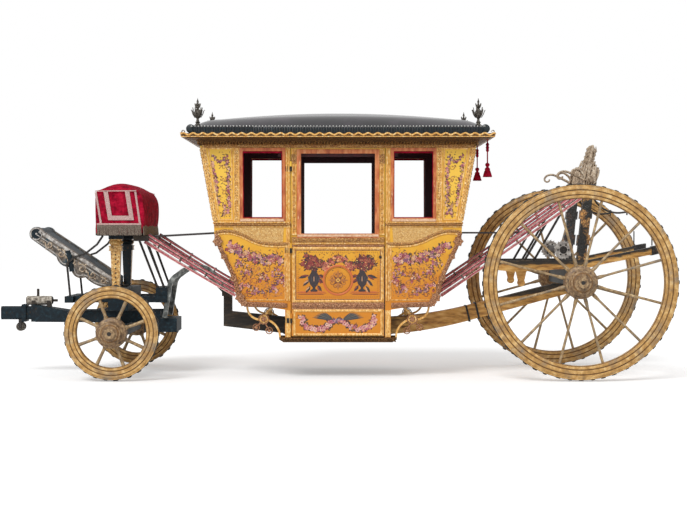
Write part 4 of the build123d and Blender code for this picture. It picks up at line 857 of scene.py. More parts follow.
    # Bottom rail, and the panel of the foot well with two swags and a spray
    rosy.moulding([(-0.424, 0.674), (0.424, 0.674)], (0.062, 0.015, "ogee"))
    carve(rosy, [(-0.420, 0.674), (0.420, 0.674)], 0.060, 0.021, 0.030)
    gilt.moulding(frame_path(-0.406, 0.406, 0.406, 0.630), (0.026, 0.011, "ogee"), True)
    for e, seed in ((-1, 80), (1, 90)):
        swag = smooth_path([(e * 0.345, 0.575), (e * 0.300, 0.490), (e * 0.200, 0.462),
                            (e * 0.105, 0.480), (e * 0.060, 0.530)])
        garland(flowers, swag, 0.042, 0.0060, seed, 0.019, ["C06A78", "D9A09A", "A84A5C", "E4BEAC"])
        for k in range(9):
            angle = 0.12 + 0.075 * k
            flowers.leaf(e * 0.040, 0.542, angle if e > 0 else pi - angle, 0.205 - 0.012 * k, 0.017,
                         0.003, ["26343C", "46504E", "1A262E", "5A5A50"][k % 4])
    garland(flowers, [(-0.05, 0.535), (0.05, 0.535)], 0.030, 0.006, 99, 0.016,
            ["8A8A9A", "C97A86", "6A5A7A"])
    # Round iron lock on the rear stile, and a thin dark iron strip down the closing edge: painted shade for
    # the gap between door and post
    lock_and_gap_shade = Relief()
    lock_and_gap_shade.bead(0.392, 1.126, 0.017, 0.020, sides=12)
    lock_and_gap_shade.moulding([(0.4300, 0.396), (0.4300, 1.216)], (0.008, 0.0015, "flat"))
    for relief, kind, slot, material in (
        (gilt, "gilt_mouldings", "gilt_carving", plain_gilt),
        (carving, "carved_mouldings", "gilt_carving", carved_gilt),
        (rosy, "leafy_rails", "gilt_carving", rosy_gilt),
        (salmon, "window_frame", "painted_panel", salmon_beech),
        (sill, "window_sill", "painted_panel", pale_sill),
        (flowers, "painted_bouquets", "painted_panel", flower_paint),
        (medal, "rosette_medallion", "painted_panel", flower_paint),
        (lock_and_gap_shade, "lock_and_gap_shade", "wrought_iron", iron),
    ):
        relief.stand(f"door_{kind}_{side_name}", side, body, slot, material)

    # Posts of the foot well, and carved leaves on the step base
    posts, leaves = Relief(), Relief()
    for e in (-1, 1):
        posts.moulding([(e * 0.462, 0.384), (e * 0.462, 0.634)], (0.046, 0.009, "hollow"))
    posts.stand(f"well_posts_{side_name}", side, "carriage", "gilt_carving", plain_gilt)
    carve(leaves, [(-0.525, 0.357), (0.525, 0.357)], 0.044, 0.026, 0.034)
    leaves.stand(f"step_leaves_{side_name}", side, "carriage", "gilt_carving", brown_gilt)

    # Carved band under the cornice, above the door's head, and the silk valance behind it
    band, valance = Relief(), Relief()
    band.moulding([(-1.245, 2.1455), (1.245, 2.1455)], (0.040, 0.019, "ogee"))
    carve(band, [(-1.240, 2.1455), (1.240, 2.1455)], 0.038, 0.022, 0.030)
    band.stand(f"head_band_{side_name}", side, "carriage", "gilt_carving", carved_gilt)
    valance.add([(x, z, o) for x in (-0.55, 0.55) for z in (2.050, 2.144) for o in (-0.066, -0.060)],
                box_faces)
    valance.stand(f"silk_valance_{side_name}", side, "carriage", "velvet", lining)
print("doors dressed")

# %% [markdown]
# The photo doesn't show the end boards. Such coaches carry the same ornament round, so they get
# a carved frame, a slim line inside it, and a swag of the same painted flowers.

# %% End boards
for end_name, e in both_ends:
    gilt, carving, flowers = (Relief() for _ in range(3))
    for low, high, inset, wide in ((1.480, 2.106, 0.052, 0.044), (1.560, 2.030, 0.140, 0.014)):
        border = [(inset - side_y(low), low), (inset - side_y(high), high),
                  (side_y(high) - inset, high), (side_y(low) - inset, low)]
        gilt.moulding(border, (wide, 0.010, "ogee"), True)
        if wide > 0.03:
            carve(carving, border, 0.036, 0.014, 0.030, True)
    gilt.moulding([(-0.690, 1.440), (0.690, 1.440)], (0.022, 0.012, "round"))
    swag = smooth_path([(-0.50, 1.985), (-0.28, 1.880), (0.0, 1.840), (0.28, 1.880), (0.50, 1.985)])
    garland(flowers, swag, 0.050, 0.010, 101, 0.020)
    for s in (-1, 1):
        garland(flowers, [(s * 0.505, 1.970), (s * 0.480, 1.640)], 0.040, 0.013, 103 + s, 0.017)
        garland(flowers, [(s * 0.420, 1.600), (s * 0.160, 1.600)], 0.034, 0.013, 107 + s, 0.016)
        for k, (cy, cz) in enumerate([(0.10, 1.70), (0.24, 1.74), (0.36, 1.70), (0.17, 1.80), (0.33, 1.81)]):
            scroll(flowers, s * cy, cz, 0.040, 0.7 * k, s, ["A2582A", "B4703A"][k % 2])
    for relief, kind, slot, material in ((gilt, "gilt_frame", "gilt_carving", plain_gilt),
                                         (carving, "carved_frame", "gilt_carving", carved_gilt),
                                         (flowers, "painted_swags", "painted_panel", flower_paint)):
        points = [(cabin_x + e * (1.140 + 0.1762 * (z - 1.431) + o), e * y, z) for y, z, o in relief.points]
        make_piece(f"end_{kind}_{end_name}", points, relief.faces, "carriage", material, relief.tints)

# %% [markdown]
# ## Wheels
# A coach wheel is ash: felloes in a ring with a groove ploughed along their faces, shaved
# spokes that swell into the hub, and a turned elm hub. The ring and hub are one section spun
# round the axle, as on a lathe. The tyre is held by big hand-forged nails, no two alike.


# %% A lathe and a rod
def turned(name, profile, centre, axis, steps, material, closed=False):
    """Spins a section of (radius, along) points round an axis through a centre."""
    axis = Vector(axis)
    reach = axis.orthogonal().normalized()
    mesh = bpy.data.meshes.new(name)
    mesh.materials.append(material)
    count = len(profile)
    edges = [(i, (i + 1) % count) for i in range(count if closed else count - 1)]
    mesh.from_pydata([Vector(centre) + reach * r + axis * a for r, a in profile], edges, [])
    piece = put(name, mesh)
    pick(piece)
    bpy.ops.object.mode_set(mode="EDIT")
    bpy.ops.mesh.select_all(action="SELECT")
    bpy.ops.mesh.spin(steps=steps, angle=2 * pi, center=centre, axis=axis)
    bpy.ops.mesh.select_all(action="SELECT")
    bpy.ops.mesh.remove_doubles(threshold=0.00002)
    bpy.ops.mesh.normals_make_consistent(inside=False)
    bpy.ops.object.mode_set(mode="OBJECT")
    return piece


def join(pieces, name):
    """Joins several meshes into the first one."""
    pick(*pieces)
    bpy.ops.object.join()
    pieces[0].name = pieces[0].data.name = name
    return pieces[0]


def rod(line, sizes, across, sides=8, start=0.0):
    """A rod along a line of points. Sizes are half widths along `across` and square to it."""
    line, points, faces = [Vector(p) for p in line], [], []
    for i, (p, (a, b)) in enumerate(zip(line, sizes)):
        along = (line[min(i + 1, len(line) - 1)] - line[max(i - 1, 0)]).normalized()
        u = (Vector(across) - along * along.dot(Vector(across))).normalized()
        v = along.cross(u)
        turns = [start + 2 * pi * j / sides for j in range(sides)]
        points += [tuple(p + u * a * cos(turn) + v * b * sin(turn)) for turn in turns]
    last = (len(line) - 1) * sides
    for i in range(0, last, sides):
        for j in range(sides):
            k = (j + 1) % sides
            faces.append([i + j, i + k, i + sides + k, i + sides + j])
    return points, faces + [list(range(sides))[::-1], list(range(last, last + sides))]


def bar(line, half_across, half_other, across=(0, 1, 0)):
    """A rod with a rectangular section."""
    sizes = [(half_across * 2 ** 0.5, half_other * 2 ** 0.5)] * len(line)
    return rod(line, sizes, across, 4, pi / 4)


def plain(relief, name, body, material, smooth=35):
    """Makes a piece of a relief whose points are already in their place."""
    return make_piece(name, relief.points, relief.faces, body, material, None, smooth)


# %% Wheels and tyres
# Columns: name, axle x, radius, spokes, first spoke degrees, felloe depth, hub radius, nails,
# spoke half sizes at the hub, in the middle and at the felloe.
wheels = [
    ("front", *front_axle, 8, 20.0, 0.096, 0.140, 26, (0.026, 0.022), (0.018, 0.015), (0.020, 0.017)),
    ("rear", *rear_axle, 12, 15.5, 0.112, 0.152, 52, (0.024, 0.018), (0.014, 0.0115), (0.015, 0.013)),
]
# Felloe: three rounded bands with two narrow grooves, as (share of its depth, fall of its face)
bands = [(0.06, 0.006), (0.10, 0.002), (0.20, 0), (0.27, 0.002), (0.30, 0.007), (0.34, 0.007),
         (0.37, 0.002), (0.52, 0), (0.66, 0.002), (0.69, 0.007), (0.73, 0.007), (0.76, 0.001)]
# Hub, as (share of its radius, place along the axle), and the half width of its bore
barrel = [(0.54, -0.148), (0.60, -0.138), (0.62, -0.112), (0.72, -0.106), (0.74, -0.080), (0.84, -0.070),
          (0.97, -0.054), (1, -0.044), (0.985, -0.030), (0.985, 0.030), (1, 0.044), (0.97, 0.054),
          (0.80, 0.066), (0.80, 0.084), (0.75, 0.090), (0.68, 0.104), (0.68, 0.120), (0.60, 0.128),
          (0.52, 0.139)]
bore, half_felloe, half_track = 0.036, 0.037, 0.910


def refinish_ring_faces(piece, centre, rings, material):
    """Gives the faces whose middle lies in one of the rings round an axle another finish."""
    piece.data.materials.append(material)
    for face in piece.data.polygons:
        reach = hypot(face.center.x - centre[0], face.center.z - centre[2])
        if any(low < reach < high for low, high in rings) and abs(face.normal.y) > 0.25:
            face.material_index = len(piece.data.materials) - 1


for end, x, radius, spokes, phase, depth, hub, nails, size_hub, size_middle, size_rim in wheels:
    for side_name, side in both_sides:
        body = f"wheel_{end}_{side_name}"
        centre = (x, side * half_track, radius)
        outer = radius - 0.0283
        inner = outer - depth
        face = [(inner, 0.6 * half_felloe)]
        face += [(inner + share * depth, half_felloe - fall) for share, fall in bands]
        face += [(outer - 0.008, half_felloe), (outer, half_felloe - 0.004)]
        ring = face + [(r, -a) for r, a in reversed(face)]
        felloe = turned("felloe", ring, centre, (0, 1, 0), 96, wheel_ochre, True)
        line = [(bore, barrel[0][1] * side)] + [(share * hub, a * side) for share, a in barrel]
        core = turned("hub", line + [(bore, barrel[-1][1] * side)], centre, (0, 1, 0), 48, hub_brown, True)
        shaved = Relief()
        for number in range(spokes):
            angle = radians(phase + number * 360 / spokes)
            way = Vector((cos(angle), 0, sin(angle)))
            reach = inner + 0.012 - (hub - 0.012)
            line, sizes = [], []
            for share, size in ((0, size_hub), (0.08, size_hub), (0.16, size_middle), (0.5, size_middle),
                                (0.9, size_rim), (1.0, size_rim)):
                line.append(Vector(centre) + way * (hub - 0.012 + reach * share))
                sizes.append(size)
            shaved.add(*rod(line, sizes, (0, 1, 0), 10))
        arms = plain(shaved, "spokes", body, spoke_paint)
        # Painted shade: the felloe's grooves and inner edge and the hub's collar steps are darkened, over the
        # grooves' dark paint
        grooves = [(inner + a * depth, inner + b * depth) for a, b in ((0.27, 0.37), (0.66, 0.76))]
        refinish_ring_faces(felloe, centre, [(inner - 0.01, inner + 0.03 * depth)] + grooves, groove_paint_and_shade)
        collars = [(a * hub, b * hub) for a, b in ((0.0, 0.36), (0.545, 0.60), (0.80, 0.83))]
        refinish_ring_faces(core, centre, collars, groove_paint_and_shade)
        wheel = join([felloe, arms], f"{end}_wheel_wood_{side_name}")
        ride_piece(wheel, body, 30)
        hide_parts(f"{end}_wheel_{side_name}")
        core.name = core.data.name = f"{end}_hub_{side_name}"
        ride_piece(core, body, 40)
        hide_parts(f"{end}_wheel_{side_name}")

        chance = Random(7 + nails + side)
        band = [(outer + 0.0003, -0.029), (outer + 0.0003, 0.029), (outer + 0.003, 0.031),
                (outer + 0.013, 0.031), (outer + 0.0163, 0.027), (outer + 0.0163, -0.027),
                (outer + 0.013, -0.031), (outer + 0.003, -0.031)]
        tyre = turned("tyre", band, centre, (0, 1, 0), 96, tyre_iron, True)
        # The ochre was brushed over the tyre's side as well
        refinish_ring_faces(tyre, centre, [(outer, outer + 0.0135)], wheel_ochre)
        heads = Relief()
        for number in range(nails):
            angle = 2 * pi * (number + chance.uniform(-0.12, 0.12)) / nails
            way, tangent = Vector((cos(angle), 0, sin(angle))), Vector((-sin(angle), 0, cos(angle)))
            size, rise = chance.uniform(0.017, 0.024), chance.uniform(0.007, 0.0118)
            foot = Vector(centre) + way * (outer + 0.012)
            points = []
            for share, up in ((1.0, 0.0), (0.9, 0.6 * rise), (0.45, rise)):
                for a, b in ((-1, -1), (1, -1), (1, 1), (-1, 1)):
                    points.append(tuple(foot + way * (0.0043 + up) + tangent * size * share * a
                                        + Vector((0, 0.026 * share * b * side, 0))))
            faces = [[0, 1, 5, 4], [1, 2, 6, 5], [2, 3, 7, 6], [3, 0, 4, 7], [4, 5, 9, 8], [5, 6, 10, 9],
                     [6, 7, 11, 10], [7, 4, 8, 11], [8, 9, 10, 11], [3, 2, 1, 0]]
            heads.add(points, for_side(faces, side))
        nails_piece = plain(heads, "nails", body, tyre_iron)
        tyre = join([tyre, nails_piece], f"{end}_tyre_iron_{side_name}")
        ride_piece(tyre, body, 30)
        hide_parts(f"{end}_tyre_{side_name}")
print("four wheels turned, shod and nailed")

# %% [markdown]
# ## Cornice and roof
# Above the body a carved cove spreads to a lip with a wavy gilt edge. On it stands a band of
# blue-black ribs under a row of silver nails, and the roof is black leather strained over a
# low dome. The cove is one section carried round a rectangle. The dome is a grid whose height
# is the product of two arches, so that the leather falls away softly towards every edge.


# %% Cove and lip
def around(relief, points, half_x, half_y, share_y=1.0):
    """Carries a closed section of (out, z) points round a rectangle with mitred corners."""
    corners = [(-1, -1), (1, -1), (1, 1), (-1, 1)]
    places = [(cabin_x + sx * (half_x + o), sy * (half_y + o * share_y), z)
              for sx, sy in corners for o, z in points]
    size, faces = len(points), []
    for i in range(4):
        base, top = i * size, ((i + 1) % 4) * size
        for j in range(size):
            k = (j + 1) % size
            faces.append([base + j, top + j, top + k, base + k])
    relief.add(places, faces)


cove = Relief()
around(cove, [(-0.046, 2.1465), (0.004, 2.1465), (0.010, 2.150), (0.010, 2.158), (0.004, 2.162),
              (0.012, 2.180), (0.034, 2.196), (0.070, 2.206), (0.104, 2.211), (0.108, 2.217),
              (0.140, 2.220), (0.155, 2.228), (0.155, 2.251), (0.146, 2.253), (-0.046, 2.253)],
       1.266, 0.760, 0.180 / 0.155)
cornice_piece = plain(cove, "cornice_cove", "carriage", brown_gilt)
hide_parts("cornice")

# %% Carving, wave, ribs and nails along the four edges
edges = [
    ("left", lambda half, x, z, o: (cabin_x + x, -(half[1] + o), z), 1),
    ("right", lambda half, x, z, o: (cabin_x - x, half[1] + o, z), 1),
    ("front", lambda half, x, z, o: (cabin_x - half[0] - o, -x, z), 0),
    ("rear", lambda half, x, z, o: (cabin_x + half[0] + o, x, z), 0),
]


def on_edge(relief, name, place, half, material):
    points = [place(half, x, z, o) for x, z, o in relief.points]
    return make_piece(name, points, relief.faces, "carriage", material)


# Half length and half width of the cove's foot, of the lip, and of the band of ribs
cove_half, lip_half, rib_half = (1.266, half_top), (1.421, 0.940), (1.325, 0.900)
for edge_name, place, long in edges:
    length, lip, band = (half[1 - long] for half in (cove_half, lip_half, rib_half))
    frieze = Relief()
    carve(frieze, [(-length, 2.172), (length, 2.172)], 0.032, 0.026, 0.028)
    on_edge(frieze, f"frieze_leaves_{edge_name}", place, cove_half, carved_gilt)
    waves = max(8, int(2 * lip / 0.012))
    wave = [(-lip + 2 * lip * i / waves, 2.2445 + 0.0090 * sin(2 * pi * (2 * lip * i / waves) / 0.088))
            for i in range(waves + 1)]
    edging = Relief()
    edging.moulding(wave, (0.016, 0.009, "round"))
    edging.moulding([(-lip, 2.222), (lip, 2.222)], (0.007, 0.002, "round"))
    on_edge(edging, f"wavy_edge_{edge_name}", place, lip_half, plain_gilt)
    count = int(2 * band / 0.0235)
    ribs, nails = Relief(), Relief()
    for i in range(count + 1):
        at = -band + 2 * band * i / count
        ribs.moulding([(at, 2.254), (at, 2.306)], (0.0175, 0.012, "round"))
    ribs.moulding([(-band, 2.258), (band, 2.258)], (0.012, 0.020, "round"))
    if long:
        on_edge(ribs, f"ribbed_band_{edge_name}", place, (1.335, 0.900), rib_paint)
    count = int(2 * band / 0.029)
    for i in range(count + 1):
        nails.bead(-band + 2 * band * i / count, 2.3165, 0.0080, 0.009)
    on_edge(nails, f"silver_nails_{edge_name}", place, (1.330, 0.899), stud_metal)

# %% Rolled ends and curled corners
# The leather ends in a roll across the front and the rear, and a gilt curl stands at each corner
ends, curls = Relief(), Relief()
for ex in (-1, 1):
    x = cabin_x + ex * 1.338
    ends.add(*rod([(x, -0.902, 2.2945), (x, -0.898, 2.2945), (x, 0.898, 2.2945), (x, 0.902, 2.2945)],
                  [(0.034, 0.034), (0.041, 0.041), (0.041, 0.041), (0.034, 0.034)], (1, 0, 0), 20))
    for ey in (-1, 1):
        spin = [(cabin_x + ex * (1.404 - 0.017 * cos(k * 0.6) * (1 - k / 14)), ey * 0.926,
                 2.262 + 0.020 * sin(k * 0.6) * (1 - k / 14)) for k in range(11)]
        curls.add(*rod(spin, [(0.010, 0.006)] * 11, (0, 1, 0), 6))
plain(ends, "rolled_roof_ends", "carriage", rib_paint, 40)
plain(curls, "corner_curls", "carriage", silver_leaf, 40)


# %% Leather dome
def arch(t, half):
    """Share of the dome's full height on one arch, at t from the middle."""
    gap = half - abs(t)
    if gap < 0.230:
        a, b, c = 0.0, 0.43, 0.64
        return (a * (gap - 0.092) * (gap - 0.230) / (0.092 * 0.230)
                - b * gap * (gap - 0.230) / (0.092 * 0.138)
                + c * gap * (gap - 0.092) / (0.230 * 0.138))
    return 1 - 0.36 * (t / (half - 0.230)) ** 2


nx, ny = 110, 76
dome = Relief()
points = []
for j in range(ny + 1):
    for i in range(nx + 1):
        # Denser near the edges, where the shoulder turns quickly
        u, v = sin(pi * (i / nx - 0.5)), sin(pi * (j / ny - 0.5))
        x, y = 1.335 * u, 0.899 * v
        points.append((cabin_x + x, y, 2.318 + 0.170 * arch(x, 1.335) * arch(y, 0.899)))
faces = [[j * (nx + 1) + i, j * (nx + 1) + i + 1, (j + 1) * (nx + 1) + i + 1, (j + 1) * (nx + 1) + i]
         for j in range(ny) for i in range(nx)]
rim = ([i for i in range(nx + 1)] + [(nx + 1) * j + nx for j in range(1, ny + 1)]
       + [ny * (nx + 1) + i for i in reversed(range(nx))] + [(nx + 1) * j for j in reversed(range(1, ny))])
base = len(points)
points += [(points[i][0], points[i][1], 2.2535) for i in rim]
for i in range(len(rim)):
    k = (i + 1) % len(rim)
    faces.append([rim[k], rim[i], base + i, base + k])
faces.append([base + i for i in reversed(range(len(rim)))])
dome.add(points, faces)
roof_piece = plain(dome, "roof_leather_dome", "carriage", roof_leather, 50)
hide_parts("roof")

# %% [markdown]
# ## Finials
# Each corner of the roof carries a cast urn of leaves with a spire. The urn is turned, and
# curled blades are set round it in two rings.


# %% Finials
def blades(relief, centre, count, low, high, near, far, width, start=0.0):
    """A ring of curled leaves round an upright axis."""
    for number in range(count):
        turn = start + 2 * pi * number / count
        out = Vector((cos(turn), sin(turn), 0))
        line = [Vector(centre) + out * r + Vector((0, 0, z)) for r, z in (
            (near, low), (near + (far - near) * 0.55, low + (high - low) * 0.45),
            (near + (far - near) * 0.8, low + (high - low) * 0.85), (far, high), (far * 1.08, high * 0.985))]
        sizes = [(width * 0.4, 0.003), (width, 0.004), (width * 0.8, 0.004), (width * 0.4, 0.003),
                 (width * 0.1, 0.0015)]
        relief.add(*rod(line, sizes, (-sin(turn), cos(turn), 0), 6))


urn = [(0.0, 0.0), (0.036, 0.0), (0.038, 0.024), (0.022, 0.036), (0.016, 0.046), (0.024, 0.054),
       (0.014, 0.064), (0.011, 0.086), (0.024, 0.100), (0.036, 0.120), (0.037, 0.140), (0.026, 0.160),
       (0.016, 0.172), (0.012, 0.182), (0.021, 0.192), (0.021, 0.204), (0.011, 0.214), (0.007, 0.228),
       (0.011, 0.240), (0.006, 0.254), (0.0, 0.278)]
turned_urns = []
for ex in (-1, 1):
    for ey in (-1, 1):
        foot = (cabin_x + ex * 1.278, ey * 0.840, 2.302)
        body_piece = turned("urn", urn, foot, (0, 0, 1), 24, bronze)
        leafage = Relief()
        blades(leafage, foot, 7, 0.096, 0.166, 0.028, 0.062, 0.010)
        blades(leafage, foot, 5, 0.124, 0.190, 0.034, 0.046, 0.008, 0.5)
        blades(leafage, foot, 6, 0.186, 0.226, 0.016, 0.028, 0.006, 0.3)
        turned_urns += [body_piece, plain(leafage, "leafage", "carriage", bronze)]
finials = join(turned_urns, "urn_finials")
ride_piece(finials, "carriage", 40)
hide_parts("roof_finials")
print("cornice, roof and finials are in place")

# %% [markdown]
# ## The hammercloth
# The driver's seat is a padded box under crimson velvet, edged with pink-silver galloon and a
# heavy fringe. The velvet is a cube, subdivided and drawn in between its corners, crowned on
# top and rippled towards its hem. Galloon is laid on as flat bands, and each fringe strand is
# its own little twisted prism.

# %% Velvet
seat_x = -1.9625
bpy.ops.mesh.primitive_cube_add(size=1, location=(seat_x, 0, 1.5545))
cloth = bpy.context.object
cloth.scale = (0.420, 1.212, 0.419)
bpy.ops.object.transform_apply(location=True, rotation=False, scale=True)
bpy.ops.object.mode_set(mode="EDIT")
bpy.ops.mesh.select_all(action="SELECT")
bpy.ops.mesh.subdivide(number_cuts=27)
bpy.ops.object.mode_set(mode="OBJECT")
for vertex in cloth.data.vertices:
    p = vertex.co
    u, v, h = (p.x - seat_x) / 0.210, p.y / 0.606, (p.z - 1.345) / 0.419
    crown = max(0.0, (1 - u * u)) * max(0.0, 1 - abs(v) ** 6)
    ripple = noise.noise((p.x * 9, p.y * 9, p.z * 3)) * 0.008 * (1 - h) + noise.noise(p * 5) * 0.006
    # Round the top edges, swell the top, and draw the sides in below it
    if h > 0.72:
        shrink = 1 - 0.10 * ((h - 0.72) / 0.28) ** 2
        p.x = seat_x + (p.x - seat_x) * shrink
        p.y *= 1 - 0.035 * ((h - 0.72) / 0.28) ** 2
        p.z += 0.052 * crown * ((h - 0.72) / 0.28) - 0.020 * (1 - crown) * ((h - 0.72) / 0.28)
    else:
        belly = sin(pi * h / 0.72)
        p.x += (1 if u > 0 else -1) * abs(u) ** 4 * 0.006 * belly
    p.x += ripple * (abs(u) > 0.98) * (1 if u > 0 else -1)
    p.y += ripple * (abs(v) > 0.98) * (1 if v > 0 else -1)
    # The pad slumps over the rear edge in soft folds, and the whole seat leans forward a little
    if u > 0.5 and h > 0.1:
        slump = (u - 0.5) * 2 * sin(pi * min(1.0, (h - 0.1) / 0.9)) ** 0.8
        p.x += 0.024 * slump + 0.007 * slump * sin(p.y * 38 + h * 4)
        p.z -= 0.022 * max(0.0, h - 0.6) * slump
    p.x += 0.020 * (0.4 - h)
cloth.name = cloth.data.name = "hammercloth_velvet"
cloth.data.materials.append(velvet)
ride_piece(cloth, "carriage", 60)
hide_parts("hammercloth")

# %% Galloon and fringe
seat_edges = [
    ("near", lambda x, z, o: (seat_x + x * 0.97 + 0.05 * (1.50 - z), -(0.611 + o), z), 0.212),
    ("far", lambda x, z, o: (seat_x - x * 0.97 + 0.05 * (1.50 - z), 0.611 + o, z), 0.212),
    ("front", lambda x, z, o: (seat_x - 0.212 - o + 0.05 * (1.50 - z), -x, z), 0.606),
    ("rear", lambda x, z, o: (seat_x + 0.216 + o + 0.05 * (1.50 - z), x, z), 0.606),
]
for edge_name, place, half in seat_edges:
    tape, strands = Relief(), Relief()
    band, slim = (0.042, 0.003, "flat"), (0.019, 0.003, "flat")
    tape.moulding([(-half, 1.428), (half, 1.428)], slim)
    if half < 0.3:
        # On the near and far ends the side bands lean, as the cloth is cut, under a slim top band
        tape.moulding([(0.006 - half, 1.724), (0.040 - half, 1.435)], slim)
        tape.moulding([(half - 0.040, 1.730), (half - 0.012, 1.435)], slim)
        tape.moulding([(-half, 1.736), (half - 0.030, 1.739)], (0.010, 0.003, "flat"))
        tape.moulding([(-0.112, 1.736), (-0.082, 1.487), (0.122, 1.487), (0.094, 1.736)], band)
    chance = Random(5)
    for i in range(int(2 * half / 0.0058)):
        at = -half + 0.003 + i * 0.0058
        lean = chance.uniform(-0.004, 0.004)
        low = 1.3245 + chance.uniform(0, 0.006)
        strands.add(*rod([(at, 1.423, 0.002), (at + lean * 0.4, 1.39, 0.006), (at + lean, low, 0.007)],
                         [(0.0034, 0.003), (0.0034, 0.0036), (0.0042, 0.0042)], (1, 0, 0), 5))
    # A strand's faces are turned over, because its rod stands on the other side of the cloth
    for kind, relief, side, material in (("galloon", tape, -1, galloon), ("fringe", strands, 1, fringe_silk)):
        make_piece(f"{kind}_{edge_name}", [place(*p) for p in relief.points],
                   for_side(relief.faces, side), "carriage", material)
print("hammercloth dressed")

# %% [markdown]
# ## Straps
# The body hangs in bundles of long dyed straps, stitched in layers, with pale cut edges and
# silver-washed sleeves. Each layer is a flat rod along a slightly slack line.

# %% Strap bundles
# Columns: name, end at the cabin, end at the carriage, spread at each end.
bundles = [
    ("front", (-0.945, 0.790), (-1.790, 1.300), 0.062, 0.074),
    ("rear", (0.945, 0.790), (2.300, 1.735), 0.068, 0.064),
]
for name, low, high, spread_low, spread_high in bundles:
    rose, pale, black, metal = (Relief() for _ in range(4))
    length = hypot(high[0] - low[0], high[1] - low[1])
    along = Vector(((high[0] - low[0]) / length, 0, (high[1] - low[1]) / length))
    over = Vector((-along.z, 0, along.x)) * (1 if high[0] > low[0] else -1)
    for side in (-1, 1):
        for number, (level, relief, half, thick) in enumerate((
                (-0.70, pale, 0.024, 0.0024), (-0.50, rose, 0.023, 0.0105), (-0.32, pale, 0.024, 0.0022),
                (-0.14, pale, 0.024, 0.0024), (0.04, rose, 0.024, 0.0100), (0.20, black, 0.022, 0.0030),
                (0.34, pale, 0.024, 0.0022), (0.50, rose, 0.023, 0.0085), (0.66, black, 0.022, 0.0040))):
            line = []
            for k in range(13):
                t = k / 12
                spread = spread_low + (spread_high - spread_low) * t
                point = Vector((cabin_x + low[0], side * 0.450, low[1])) + along * length * t
                slack = -0.004 * sin(pi * t) * (1 + number % 3)
                line.append(point + over * (level * spread + slack))
            relief.add(*bar(line, half, thick))
        for t in (0.16, 0.34, 0.62, 0.86):
            point = Vector((cabin_x + low[0], side * 0.450, low[1])) + along * length * t
            spread = spread_low + (spread_high - spread_low) * t
            metal.add(*rod([point - along * 0.008, point + along * 0.008],
                           [(0.027, 0.62 * spread + 0.004)] * 2, (0, 1, 0), 8))
    first = plain(rose, f"{name}_strap_layers", "carriage", rose_leather)
    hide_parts(f"{name}_straps")
    plain(pale, f"{name}_strap_edges", "carriage", pale_leather)
    # The thin black layers between the rose ones are painted shade for the dark gaps in the bundle
    plain(black, f"{name}_strap_gap_shade", "carriage", black_leather)
    plain(metal, f"{name}_strap_sleeves", "carriage", bronze)

# %% [markdown]
# ## Tassels
# Two crimson tassels hang below the rear edge of the cornice on silk cords. A cord is a short
# free line, so it is a curve with a round section. The tassel is
# a turned wooden head covered in silk, over a skirt of threads.

# %% Cords and tassels
for side_name, side in both_sides:
    x, y = cabin_x + 1.390, side * 0.540
    line = bpy.data.curves.new(f"tassel_silk_cord_{side_name}", "CURVE")
    line.dimensions = "3D"
    line.bevel_depth = 0.006
    line.bevel_resolution = 3
    line.resolution_u = 8
    line.use_fill_caps = True
    spline = line.splines.new("NURBS")
    heights = (2.219, 2.150, 2.080, 2.000)
    spline.points.add(len(heights) - 1)
    for point, z in zip(spline.points, heights):
        point.co = (x, y, z, 1)
    spline.order_u = 3
    spline.use_endpoint_u = True
    cord = put(f"tassel_silk_cord_{side_name}", line)
    line.materials.append(velvet)
    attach(cord, "carriage")
    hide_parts(f"tassel_cord_{side_name}")
    head = turned("head", [(0.0, 2.000), (0.012, 1.999), (0.020, 1.990), (0.021, 1.978), (0.013, 1.966),
                           (0.012, 1.958), (0.022, 1.950), (0.026, 1.940), (0.020, 1.930), (0.0, 1.928)],
                  (x, y, 0), (0, 0, 1), 20, velvet)
    # A knot of the same silk, tied where the cord leaves the cornice
    knot = turned("knot", [(0.0, 2.188), (0.011, 2.184), (0.017, 2.170), (0.011, 2.156), (0.017, 2.143),
                           (0.012, 2.129), (0.016, 2.116), (0.009, 2.103), (0.0, 2.100)],
                  (x, y, 0), (0, 0, 1), 16, velvet)
    threads = Relief()
    for number in range(64):
        turn, ring = 2 * pi * number / 32 + (number // 32) * 0.1, (0.040, 0.030)[number // 32]
        out = Vector((cos(turn), sin(turn), 0))
        places = [Vector((x, y, z)) + out * reach for reach, z in (
            (0.016, 1.945), (ring * 0.72, 1.915), (ring, 1.868 + 0.004 * (number % 3)))]
        threads.add(*rod(places, [(0.0022, 0.0022), (0.0036, 0.003), (0.0044, 0.004)],
                         (-sin(turn), cos(turn), 0), 5))
    skirt = plain(threads, "skirt", "carriage", velvet)
    tassel = join([head, knot, skirt], f"silk_tassel_{side_name}")
    ride_piece(tassel, "carriage", 50)
    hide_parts(f"tassel_{side_name}")
print("straps and tassels hang")

# %% [markdown]
# ## Driver's footboard and posts
# The footboard's cheeks are carved boards: a silvered rail along the top, scrolls with leaves
# below it, and a turned boss on the rolled end. The posts under the seat carry turned rings, a
# ball and dark inlaid dots, and their faces nearer the coach's middle are dark: painted shade.


# %% Cheeks, posts and their rings
def curl(relief, x, z, size, turn, hand, width, height):
    """A carved scroll with leaves thrown off its back."""
    line = [(x + size * (1 - i / 21) * cos(turn + hand * i * 0.42),
             z + size * (1 - i / 21) * sin(turn + hand * i * 0.42)) for i in range(17)]
    relief.moulding(line, (width, height, "round"))
    relief.bead(*line[-1], width * 0.8, height * 1.3, sides=8)
    for i in (0, 3, 6):
        relief.leaf(*line[i], turn + hand * i * 0.42 + hand * 0.5, size * 0.8, size * 0.34, height)


